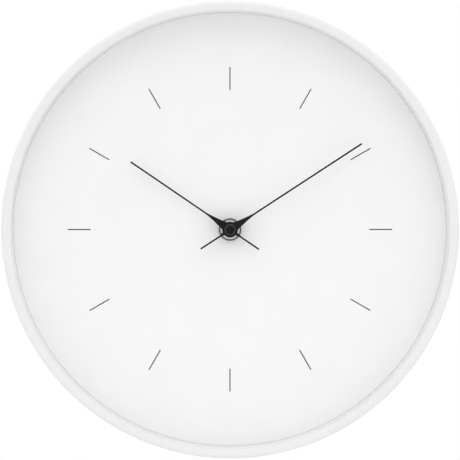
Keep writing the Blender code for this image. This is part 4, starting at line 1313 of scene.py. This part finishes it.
# ---- hands ------------------------------------------------------------------------------------
@dataclass
class Hand(SubAssembly):
    """Black needle hand: thin blade and tail that flare into a round hub.

    Attributes:
        node: The CAD node that it stands for.
        body: The body that it rides on.
        angle: Where it points, in degrees.
        length: From the pivot to the tip.
        bore: Radius of its hole.
        tail: From the pivot to the tail's end.
        hub: Radius of the hub.
        hub_step: How far the hub stands above the blade, on either side.
        needle: Half the width of the needle.
        flare: Where the blade's flare starts, where it would end, and how much it adds.
        flare_power: How fast the flare opens.
        tail_flare: Where the tail's flare starts, where it would end, and how much it adds.
        steps: Points along each side's flare.
    """

    node: str
    body: Body
    angle: float
    length: float
    bore: float
    tail: float = 21.2 * MM
    hub: float = 4.7 * MM
    hub_step: float = 0.1 * MM
    needle: float = 0.5 * MM
    flare: tuple[float, float, float] = (17.5 * MM, 3.5 * MM, 2.2 * MM)
    flare_power: float = 1.37
    tail_flare: tuple[float, float, float] = (8.0 * MM, 3.5 * MM, 0.6 * MM)
    steps: int = 28

    def half_width(self, distance: float, flare: tuple[float, float, float]) -> float:
        """Half the width of the blade or the tail.

        Args:
            distance: Distance from the pivot.
            flare: Where the flare starts, where it would end, and how much it adds.

        Returns:
            Half the width there.
        """
        start, end, growth = flare
        share = max(0.0, (start - distance) / (start - end))
        return self.needle + growth * share**self.flare_power

    def meeting(self, flare: tuple[float, float, float]) -> float:
        """Distance from the pivot at which a flare runs into the hub's circle.

        Args:
            flare: The flare.

        Returns:
            The distance, found by halving.
        """
        near, far = flare[1], self.hub
        for _ in range(40):
            middle = (near + far) / 2
            if hypot(middle, self.half_width(middle, flare)) < self.hub:
                near = middle
            else:
                far = middle
        return near

    def outline(self) -> list[Point2]:
        """Outline of the hand as it points to twelve.

        Returns:
            (x, z) points.
        """
        right = [(self.needle, self.length)]
        join = self.meeting(self.flare)
        for step in range(self.steps + 1):
            distance = self.flare[0] + (join - self.flare[0]) * step / self.steps
            right.append((self.half_width(distance, self.flare), distance))
        tail_join = self.meeting(self.tail_flare)
        first = asin(self.half_width(join, self.flare) / self.hub)
        last = pi - asin(self.half_width(tail_join, self.tail_flare) / self.hub)
        for step in range(1, self.steps):
            turn = first + (last - first) * step / self.steps
            right.append((self.hub * sin(turn), self.hub * cos(turn)))
        for step in range(self.steps + 1):
            distance = tail_join + (self.tail_flare[0] - tail_join) * step / self.steps
            right.append((self.half_width(distance, self.tail_flare), -distance))
        right.append((self.needle, -self.tail))
        return right + [(-x, z) for x, z in reversed(right)]

    def build(self) -> None:
        """Builds the blade with its hub."""
        low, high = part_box(self.node)
        turn = Matrix.Rotation(radians(self.angle), 4, "Y")
        front, rear, step = low.y, high.y, self.hub_step
        blade = prism(
            "blade", self.outline(), front + step, rear - step, [circle((0.0, 0.0), self.bore)], turn
        )
        bevelled(blade, 0.06 * MM)
        boss, edge = self.hub - 0.08 * MM, 0.06 * MM
        profile = [
            (self.bore, front), (boss - edge, front), (boss, front + edge),
            (boss, rear - edge), (boss - edge, rear), (self.bore, rear),
        ]
        hub = turned("hub", profile)
        piece = gathered(f"{self.node}_blade", [blade, hub])
        self.palette.dress(piece, "hand_black", self.body, self.node)


@dataclass
class Pivot(SubAssembly):
    """Black cap nut whose chamfer band is a painted highlight, a nut round the hubs whose dark body and
    bright face band are painted dark and bright reflections, and the bush's thread.

    Attributes:
        cap_chamfer: Width and height of the cap's chamfer.
        dimple: Radius and depth of the dimple in the cap.
        nut_bore: Radius of the fixing nut's hole.
        nut_round: Rounding of its outer front edge.
        land: Outer radius and height of the raised band on the nut's face, which carries a painted bright
            reflection.
        thread: Radius, length and wire of the bush's thread.
        pitch: Pitch of the thread.
    """

    cap_chamfer: Point2 = (0.85 * MM, 0.55 * MM)
    dimple: Point2 = (1.1 * MM, 0.15 * MM)
    nut_bore: float = 4.2 * MM
    nut_round: float = 0.7 * MM
    land: Point2 = (5.85 * MM, 0.12 * MM)
    thread: tuple[float, float, float] = (3.93 * MM, 8.4 * MM, 0.17 * MM)
    pitch: float = 0.75 * MM

    def cap_nut(self) -> None:
        """Builds the cap nut."""
        low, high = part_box("hand_cap_nut")
        radius, front, rear = high.x, low.y, high.y
        across, down = self.cap_chamfer
        width, depth = self.dimple
        fine = 0.03 * MM
        top, foot = (radius - across, front + 0.04 * MM), (radius - 0.08 * MM, front + down)
        profile = [
            (0.0, front + depth), (width * 0.6, front + depth * 0.85), (width, front + depth * 0.2),
            (width * 1.15, front), (radius - across - 0.1 * MM, front), top, foot,
            (radius, front + down + 0.1 * MM), (radius, rear - 0.12 * MM),
            (radius - 0.12 * MM, rear), (0.0, rear),
        ]
        cap = turned("cap_nut", profile, sharp=30.0)
        self.palette.dress(cap, "cap_black", Body.MINUTE, "hand_cap_nut")
        # The chamfer band is a lighter copy of the cap's black: a painted highlight.
        band = [(reach, along - fine) for reach, along in (top, foot)]
        band += [(reach, along + fine) for reach, along in (foot, top)]
        edge = turned("cap_chamfer", band, sharp=30.0)
        self.palette.dress(edge, "cap_edge", Body.MINUTE, "hand_cap_nut")

    def ring_nut(self) -> None:
        """Builds the fixing nut."""
        low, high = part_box("fixing_nut")
        radius, front, rear = high.x, low.y, high.y
        bore, turn, edge = self.nut_bore, self.nut_round, 0.25 * MM
        across, step = self.land
        face, fine = front + step, step / 3
        profile = [(bore, face + edge), (bore + edge, face)]
        profile += arc((radius - turn, face + turn), turn, -90.0, 0.0, 8)
        profile += [(radius, rear - edge), (radius - edge, rear), (bore + edge, rear), (bore, rear - edge)]
        nut = turned("ring_nut", profile, steps=128, sharp=40.0)
        # The nut's body takes the dark copy of its metal and the face band the bright copy: painted dark
        # and bright reflections.
        self.palette.dress(nut, "nut_dark", Body.CASE, "fixing_nut")
        inner = bore + 1.5 * edge
        profile = [
            (inner, face + fine), (inner, front + fine), (inner + fine, front), (across - fine, front),
            (across, front + fine), (across, face + fine),
        ]
        land = turned("nut_land", profile, steps=128, sharp=40.0)
        self.palette.dress(land, "nut_bright", Body.CASE, "fixing_nut")

    def bush_thread(self) -> None:
        """Winds the thread round the bush."""
        radius, length, wire = self.thread
        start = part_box("movement_front_plate")[0].y + 2 * wire
        thread = HelixRecipe().make(
            "bush_thread",
            self.palette.materials["movement_black"],
            Turns=length / self.pitch,
            Steps=32,
            Radius=radius,
            Length=length,
            Wire=wire,
            Centre=(0.0, start, 0.0),
            Turned=(-pi / 2, 0.0, 0.0),
        )
        self.palette.dress(thread, "movement_black", Body.CASE)

    def build(self) -> None:
        """Builds the two nuts and the thread."""
        self.cap_nut()
        self.ring_nut()
        self.bush_thread()


# ---- hanger and movement ----------------------------------------------------------------------
@dataclass
class Hanger(SubAssembly):
    """Steel bracket on the bush, bent back over the movement, with a keyhole for the wall screw.

    Attributes:
        thickness: Thickness of the sheet.
        shelf: Height of the lower side of its shelf.
        outer_bend: Cut of a bend's outer corner.
        inner_bend: Cut of a bend's inner corner.
        keyhole: Radius of the keyhole, and its height.
        slot: Radius of the slot's end, and its height.
        bush: Radius of the hole for the bush.
        corner: Radius of the sheet's corners.
    """

    thickness: float = 0.8 * MM
    shelf: float = 31.0 * MM
    outer_bend: float = 1.5 * MM
    inner_bend: float = 0.6 * MM
    keyhole: Point2 = (4.2 * MM, 40.0 * MM)
    slot: Point2 = (2.3 * MM, 49.0 * MM)
    bush: float = 4.2 * MM
    corner: float = 3.0 * MM

    def side(self) -> list[Point2]:
        """Outline of the bent sheet from the side.

        Returns:
            (y, z) points.
        """
        low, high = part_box("hanger_bracket")
        near, far = low.y + self.thickness, high.y - self.thickness
        top = self.shelf + self.thickness
        corners = [
            ((low.y, low.z), 0.0), ((low.y, top), self.outer_bend),
            ((far, top), self.inner_bend), ((far, high.z), 0.0), ((high.y, high.z), 0.0),
            ((high.y, self.shelf), self.outer_bend), ((near, self.shelf), self.inner_bend),
            ((near, low.z), 0.0),
        ]
        points = [corner for corner, _ in corners]
        outline = []
        for index, (corner, cut) in enumerate(corners):
            around = [points[index - 1], corner, points[(index + 1) % len(points)]]
            outline += rounded(around, cut)[6:12] if cut else [corner]
        return outline

    def keyhole_outline(self) -> list[Point2]:
        """Outline of the keyhole.

        Returns:
            (x, z) points.
        """
        radius, height = self.keyhole
        narrow, top = self.slot
        opening = 90.0 - asin(narrow / radius) * 180.0 / pi
        points = arc((0.0, height), radius, 180.0 - opening, 360.0 + opening, 40)
        return points + arc((0.0, top), narrow, 0.0, 180.0, 16)

    def corner_tool(self, side: int, end: int, place: float, front: float, rear: float) -> bpy.types.Object:
        """Makes the tool that rounds one corner of the sheet.

        Args:
            side: -1 for the left side, 1 for the right.
            end: -1 for a lower end, 1 for an upper end.
            place: Height of that end.
            front: The y of the tool's front.
            rear: The y of its rear.

        Returns:
            The tool.
        """
        half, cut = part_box("hanger_bracket")[1].x, self.corner
        beyond = 0.5 * MM
        curve = arc((half - cut, -cut), cut, 0.0, 90.0, 8)
        outline = [(half + beyond, beyond), (half + beyond, -cut), *curve, (half - cut, beyond)]
        outline = [(side * x, place + end * z) for x, z in outline]
        return prism(f"corner_{side}_{end}", outline, front, rear)

    def build(self) -> None:
        """Builds the bracket."""
        low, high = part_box("hanger_bracket")
        half, around = high.x, 2 * self.thickness
        bracket = prism("hanger_plate", self.side(), -half, half, place=from_side())
        tools = [
            prism("bush_hole", circle((0.0, 0.0), self.bush), low.y - around, low.y + around),
            prism("keyhole", self.keyhole_outline(), high.y - around, high.y + around),
        ]
        for side in (-1, 1):
            tools.append(self.corner_tool(side, -1, low.z, low.y - around, low.y + around))
            tools.append(self.corner_tool(side, 1, high.z, high.y - around, high.y + around))
        carved(bracket, tools)
        bevelled(bracket, 0.12 * MM)
        self.palette.dress(bracket, "steel", Body.CASE, "hanger_bracket")


@dataclass
class MovementBody(SubAssembly):
    """Rear half of the movement's case, with the battery trough and its marks.

    Attributes:
        wall: Thickness of its walls.
        corner: Rounding of its four corners.
        partition: Top and bottom of the wall above the trough.
        notch: Half the width, depth and height of the finger notch.
        knob_hole: Radius of the hole for the setting knob.
        cradle_x: Where the battery's cradles stand.
        cradle_width: How wide each one is.
        cradle_room: Room round the battery.
        mark: Height of the raised marks.
        sign_x: Where the plus sign stands; the minus sign stands on the other side.
        sign_z: How high the signs stand.
        sign: Half the length and half the width of a sign's bar.
        arrow: Inner and outer radius of the arrow round the knob.
        clip: Height, length and width of a snap clip.
        clip_layer: How far behind the walls' front edge a clip's middle lies.
        clip_reach: How far above and below the middle the clips stand.
    """

    wall: float = 1.2 * MM
    corner: float = 1.8 * MM
    partition: Point2 = (-10.0 * MM, -11.0 * MM)
    notch: tuple[float, float, float] = (9.0 * MM, 6.0 * MM, 2.2 * MM)
    knob_hole: float = 2.3 * MM
    cradle_x: tuple[float, ...] = (-18.0 * MM, -6.0 * MM, 6.0 * MM, 18.0 * MM)
    cradle_width: float = 1.2 * MM
    cradle_room: float = 0.35 * MM
    mark: float = 0.2 * MM
    sign_x: float = 22.5 * MM
    sign_z: float = -6.6 * MM
    sign: Point2 = (1.6 * MM, 0.35 * MM)
    arrow: Point2 = (6.1 * MM, 6.7 * MM)
    clip: tuple[float, float, float] = (0.25 * MM, 5.0 * MM, 6.0 * MM)
    clip_layer: float = 3.4 * MM
    clip_reach: float = 17.0 * MM

    def shell(self) -> bpy.types.Object:
        """Builds the walls, with the trough, the notch and the knob's hole cut out.

        Returns:
            The shell.
        """
        low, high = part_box("movement_body")
        knob = middle_of("setting_knob")[::2]
        half, inner, beyond = high.x, high.x - self.wall, 1.0 * MM
        upper, lower = self.partition
        wide, deep, tall = self.notch
        front, rear = low.y - beyond, high.y + beyond
        rooms = (
            ("train_room", rectangle(-inner, inner, upper, inner), front, high.y - self.wall),
            ("trough", rectangle(-inner, inner, -inner, lower), front, rear),
            ("notch", rectangle(-wide, wide, -half - beyond, -half + tall), high.y - deep, rear),
            ("knob_hole", circle(knob, self.knob_hole), low.y, rear),
        )
        outline = rounded(rectangle(-half, half, -half, half), self.corner)
        shell = prism("movement_shell", outline, low.y, high.y)
        carved(shell, [prism(name, shape, near, far) for name, shape, near, far in rooms])
        return bevelled(shell, 0.3 * MM)

    def cradles(self) -> list[bpy.types.Object]:
        """Builds the ribs that the battery lies in.

        Returns:
            One rib for each place.
        """
        low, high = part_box("battery_cell")
        axis = middle_of("battery_cell")[1:]
        radius = (high.z - low.z) / 2 + self.cradle_room
        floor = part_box("movement_body")[0].y
        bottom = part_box("movement_body")[0].z + self.wall
        top = self.partition[1]
        curve = arc(axis, radius, 237.0, 123.0, 24)
        side = [(floor, bottom), (curve[0][0], bottom), *curve, (curve[-1][0], top), (floor, top)]
        half = self.cradle_width / 2
        return [
            bevelled(prism(f"cradle_{index}", side, -half, half, place=from_side(x)), 0.15 * MM, 1)
            for index, x in enumerate(self.cradle_x)
        ]

    def marks(self) -> list[bpy.types.Object]:
        """Builds the raised plus and minus signs and the arrow round the knob.

        Returns:
            The marks.
        """
        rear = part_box("movement_body")[1].y
        near, far = rear - self.mark, rear + self.mark
        reach, half = self.sign
        x, z = self.sign_x, self.sign_z
        plus = [
            (x - half, z - reach), (x + half, z - reach), (x + half, z - half), (x + reach, z - half),
            (x + reach, z + half), (x + half, z + half), (x + half, z + reach), (x - half, z + reach),
            (x - half, z + half), (x - reach, z + half), (x - reach, z - half), (x - half, z - half),
        ]
        minus = rectangle(-x - reach, -x + reach, z - half, z + half)
        knob = middle_of("setting_knob")[::2]
        inner, outer = self.arrow
        middle, width, tip = (inner + outer) / 2, outer - inner, radians(322.0)
        head = [
            (knob[0] + distance * cos(turn), knob[1] + distance * sin(turn))
            for distance, turn in (
                (outer + width, radians(300.0)), (middle, tip), (inner - width, radians(300.0))
            )
        ]
        arrow = arc(knob, outer, 40.0, 300.0, 48) + head + arc(knob, inner, 300.0, 40.0, 48)
        outlines = (("plus_sign", plus), ("minus_sign", minus), ("turning_arrow", arrow))
        return [prism(name, outline, near, far) for name, outline in outlines]

    def clips(self) -> bpy.types.Object:
        """Builds the snap clips on the left and right walls.

        Returns:
            The clips in one piece.
        """
        low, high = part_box("movement_body")
        proud, long, tall = self.clip
        rows = []
        black = self.palette.materials["movement_black"]
        recipe = RowRecipe()
        for name, x in (("clips_left", low.x), ("clips_right", high.x)):
            row = recipe.make(
                name,
                black,
                Count=2,
                Start=(x, low.y + self.clip_layer, -self.clip_reach),
                Step=(0.0, 0.0, 2 * self.clip_reach),
                Size=(2 * proud, long, tall),
            )
            rows.append(bevelled(row, 0.12 * MM, 1))
        return gathered("snap_clips", rows)

    def build(self) -> None:
        """Builds the shell and gathers what is moulded on it."""
        body = gathered("movement_case", [self.shell(), *self.cradles(), *self.marks()])
        self.palette.dress(body, "movement_black", Body.CASE, "movement_body")
        self.palette.dress(self.clips(), "movement_black", Body.CASE)


@dataclass
class SettingKnob(SubAssembly):
    """Knurled knob that sets the hands.

    Attributes:
        stem: Radius of the stem.
        head: Height of the knurled head.
        core: Radius of the head between its knurls.
        knurls: How many knurls it has.
        knurl: Radius of a knurl.
        edge: Chamfer of the head's edges.
        dish: Outer and inner radius and depth of the dish in the head.
    """

    stem: float = 2.0 * MM
    head: float = 2.7 * MM
    core: float = 4.2 * MM
    knurls: int = 30
    knurl: float = 0.32 * MM
    edge: float = 0.35 * MM
    dish: tuple[float, float, float] = (1.5 * MM, 1.2 * MM, 0.3 * MM)

    def build(self) -> None:
        """Builds the knob and its knurls."""
        low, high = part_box("setting_knob")
        x, _, z = middle_of("setting_knob")
        under, top, edge = high.y - self.head, high.y, self.edge
        dish, floor, deep = self.dish
        radius = (high.x - low.x) / 2
        profile = [
            (0.0, low.y), (self.stem, low.y), (self.stem, under), (self.core - edge, under),
            (self.core, under + edge), (self.core, top - edge), (self.core - edge, top),
            (dish, top), (floor, top - deep), (0.0, top - deep),
        ]
        knob = turned("knob", profile, Matrix.Translation((x, 0.0, z)))
        knurls = RingRecipe(Stud.ROD).make(
            "knurls",
            self.palette.materials["movement_black"],
            Count=self.knurls,
            Radius=radius - self.knurl,
            Centre=(x, (under + top) / 2, z),
            Size=(self.knurl, self.head - edge, 0.0),
            Sides=10,
        )
        piece = gathered("setting_knob_head", [knob, knurls])
        self.palette.dress(piece, "movement_black", Body.MINUTE_WORK, "setting_knob")


@dataclass
class Battery(SubAssembly):
    """Plain AA cell: printed sleeve over a steel can with a nub at its right end.

    Attributes:
        nub: Radius and height of the nub.
        end: Radius of the can's bare ends.
        sleeve_edge: Inner radius of the sleeve's turned-in ends.
    """

    nub: Point2 = (2.75 * MM, 1.0 * MM)
    end: float = 5.5 * MM
    sleeve_edge: float = 5.4 * MM

    def build(self) -> None:
        """Builds the sleeve and the can."""
        low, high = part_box("battery_cell")
        lying = laid_down("battery_cell")
        radius, start, stop = (high.z - low.z) / 2, low.x, high.x - self.nub[1]
        fine, turn = 0.12 * MM, 0.6 * MM
        sleeve = [(self.sleeve_edge, start + 0.5 * MM), (self.sleeve_edge + 0.5 * MM, start + fine)]
        sleeve += arc((radius - turn, start + fine + turn), turn, -90.0, 0.0, 6)
        sleeve += arc((radius - turn, stop - fine - turn), turn, 0.0, 90.0, 6)
        sleeve += [(self.sleeve_edge + 0.5 * MM, stop - fine), (self.sleeve_edge, stop - 0.5 * MM)]
        jacket = turned("battery_jacket", sleeve, lying)
        self.palette.dress(jacket, "battery_sleeve", Body.BATTERY, "battery_cell")

        nub, height = self.nub
        tip = stop + height
        can = [
            (0.0, start), (self.end - 0.5 * MM, start), (self.end - 0.2 * MM, start + 0.2 * MM),
            (self.end, start + 0.7 * MM), (self.end, stop - 0.7 * MM),
            (self.end - 0.3 * MM, stop - 0.3 * MM), (nub + 0.2 * MM, stop - 0.3 * MM), (nub, stop),
            (nub - 0.05 * MM, tip - 0.25 * MM), (nub - 0.3 * MM, tip), (0.0, tip),
        ]
        metal = turned("battery_can", can, lying)
        self.palette.dress(metal, "steel", Body.BATTERY, "battery_cell")


@dataclass
class Winding(SubAssembly):
    """The motor coil's copper winding: an outer layer of real turns over the full layers below.

    Attributes:
        wire: Radius of the wire.
        bore: Inner radius of the winding.
    """

    wire: float = 0.15 * MM
    bore: float = 2.9 * MM

    def build(self) -> None:
        """Builds the inner layers and winds the outer one."""
        low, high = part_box("coil_winding")
        lying = laid_down("coil_winding")
        radius = (high.z - low.z) / 2 - self.wire
        below = [(self.bore, low.x), (radius, low.x), (radius, high.x), (self.bore, high.x)]
        core = turned("winding_layers", below, lying)
        self.palette.dress(core, "copper", Body.CASE, "coil_winding")

        length = high.x - low.x - 2 * self.wire
        outer = HelixRecipe().make(
            "winding_turns",
            self.palette.materials["copper"],
            Turns=length / (2 * self.wire),
            Steps=16,
            Radius=radius,
            Length=length,
            Wire=self.wire,
            Centre=(low.x + self.wire, *middle_of("coil_winding")[1:]),
            Turned=(0.0, pi / 2, 0.0),
        )
        self.palette.dress(outer, "copper", Body.CASE, "coil_winding")


@dataclass
class Works(SubAssembly):
    """Washers, wheels, plates, motor and board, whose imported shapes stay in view.

    Attributes:
        kept: Names of the nodes that take each finish.
    """

    kept: tuple[tuple[str, tuple[str, ...]], ...] = (
        ("brass", ("dial_washer", "hour_wheel", "centre_wheel")),
        ("rubber", ("rubber_gasket",)),
        ("movement_black", ("movement_front_plate", "chip_cap")),
        ("plate_plastic", ("middle_plate", "train_plate", "coil_bobbin")),
        (
            "gear_plastic",
            ("minute_work_wheel", "third_wheel", "seconds_wheel", "intermediate_wheel", "rotor_pinion"),
        ),
        (
            "steel",
            (
                "minute_arbor", "clutch_spring", "stator", "coil_core", "stator_screw_1",
                "stator_screw_2", "crystal_can", "battery_contact_plus", "battery_contact_minus",
            ),
        ),
        ("magnet", ("rotor_magnet",)),
        ("board_green", ("circuit_board",)),
    )

    def build(self) -> None:
        """Gives each node its finish."""
        for finish, nodes in self.kept:
            for node in nodes:
                self.palette.redress(node, finish)


# ---- studio -----------------------------------------------------------------------------------
@dataclass(frozen=True)
class SoftLight:
    """A square soft light that points at the clock.

    Attributes:
        name: Its name.
        place: Where it hangs.
        size: Length of its side.
        power: Its power in watts.
    """

    name: str
    place: tuple[float, float, float]
    size: float
    power: float

    def hang(self) -> None:
        """Hangs the light and points it at the clock's middle."""
        lamp = bpy.data.lights.new(self.name, "AREA")
        lamp.shape = "SQUARE"
        lamp.size = self.size
        lamp.energy = self.power
        made = bpy.data.objects.new(self.name, lamp)
        made.location = self.place
        made.rotation_euler = (-Vector(self.place)).to_track_quat("-Z", "Y").to_euler()
        bpy.context.scene.collection.objects.link(made)


@dataclass
class Studio:
    """Plain pale studio: white surroundings, soft lights, a pale floor and the camera.

    Attributes:
        eye: Where the camera stands.
        aim: How far right of and above the middle of the rim's face it points.
        lens: Its focal length in millimetres.
        sensor: Its sensor width in millimetres.
        ambience: Strength of the surroundings' light at eye height.
        overhead: How much stronger it is overhead, and weaker underfoot.
        floor_half: Half the side of the floor.
        floor_z: Height of the floor.
        lights: The soft lights.
    """

    eye: tuple[float, float, float] = (-0.015, -1.77, 0.035)
    aim: Point2 = (-0.15 * MM, 0.06 * MM)
    lens: float = 228.0
    sensor: float = 36.0
    ambience: float = 0.895
    overhead: float = 0.36
    floor_half: float = 1.1
    floor_z: float = -0.3
    lights: tuple[SoftLight, ...] = (
        SoftLight("key_light", (0.1, -1.6, 1.7), 1.6, 4.5),
        SoftLight("fill_light", (0.3, -0.8, -0.6), 0.8, 3.6),
    )

    def surroundings(self) -> None:
        """Makes a world that looks white and lights softly."""
        world = bpy.data.worlds.new("studio")
        world.use_nodes = True
        world.node_tree.nodes.clear()
        sheet = NodeSheet(world.node_tree)
        seen = sheet.add("ShaderNodeLightPath").outputs["Is Camera Ray"]
        towards = sheet.add("ShaderNodeTexCoord").outputs["Generated"]
        height = sheet.node("ShaderNodeSeparateXYZ", {"Vector": towards}).outputs["Z"]
        share = sheet.math("MULTIPLY_ADD", height, self.overhead, 1.0)
        strength = sheet.math("MULTIPLY", share, self.ambience)
        inputs = {"Color": (1.0, 1.0, 1.0, 1.0), "Strength": strength}
        soft = sheet.node("ShaderNodeBackground", inputs)
        white = sheet.node("ShaderNodeBackground", {"Color": (1.0, 1.0, 1.0, 1.0)})
        mix = sheet.add("ShaderNodeMixShader")
        for socket, value in zip(mix.inputs, (seen, soft.outputs[0], white.outputs[0])):
            sheet.feed(socket, value)
        out = sheet.add("ShaderNodeOutputWorld")
        sheet.feed(out.inputs["Surface"], mix.outputs[0])
        bpy.context.scene.world = world

    def floor(self, palette: Palette) -> None:
        """Lays the pale floor.

        Args:
            palette: The finishes, for the floor's own material.
        """
        shape = bmesh.new()
        bmesh.ops.create_grid(shape, x_segments=4, y_segments=4, size=self.floor_half)
        bmesh.ops.translate(shape, verts=shape.verts, vec=(0.0, 0.0, self.floor_z))
        mesh = bpy.data.meshes.new("studio_floor")
        shape.to_mesh(mesh)
        shape.free()
        mesh.materials.append(palette.materials["dial_white"])
        made = bpy.data.objects.new("studio_floor", mesh)
        bpy.context.scene.collection.objects.link(made)

    def camera(self) -> None:
        """Sets up the camera, pointed at the middle of the rim's face."""
        view = bpy.data.cameras.new("front_view")
        view.lens = self.lens
        view.sensor_width = self.sensor
        view.clip_start = 0.05
        made = bpy.data.objects.new("front_view", view)
        made.location = self.eye
        aim = Vector((self.aim[0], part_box("case_body")[0].y, self.aim[1]))
        made.rotation_euler = (aim - Vector(self.eye)).to_track_quat("-Z", "Y").to_euler()
        bpy.context.scene.collection.objects.link(made)
        bpy.context.scene.camera = made

    def set_up(self, palette: Palette) -> None:
        """Sets up everything round the clock.

        Args:
            palette: The finishes.
        """
        bpy.context.scene.view_settings.view_transform = "Standard"
        self.camera()
        self.surroundings()
        self.floor(palette)
        for light in self.lights:
            light.hang()


def corners(box: tuple[Sequence[float], Sequence[float]]) -> list[list[float]]:
    """Turns a box into plain lists of numbers.

    Args:
        box: Its lowest and highest corner.

    Returns:
        The two corners.
    """
    return [list(map(float, corner)) for corner in box]


def main() -> None:
    """Builds the clock's looks and the studio."""
    logging.basicConfig(level=logging.INFO, format="%(name)s: %(message)s")
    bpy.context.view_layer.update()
    palette = Palette.mixed(FINISHES)
    studio = Studio()
    studio.set_up(palette)
    hour = Hand(palette, "hour_hand", Body.HOUR, angle=304.3, length=72.7 * MM, bore=2.8 * MM)
    minute = Hand(palette, "minute_hand", Body.MINUTE, angle=56.85, length=95.0 * MM, bore=1.9 * MM)
    for assembly in (
        Case(palette),
        Dial(palette),
        hour,
        minute,
        Pivot(palette),
        Hanger(palette),
        MovementBody(palette),
        SettingKnob(palette),
        Battery(palette),
        Winding(palette),
        Works(palette),
    ):
        assembly.build()
        log.info("%s is built", type(assembly).__name__)


if __name__ == "__main__":
    main()
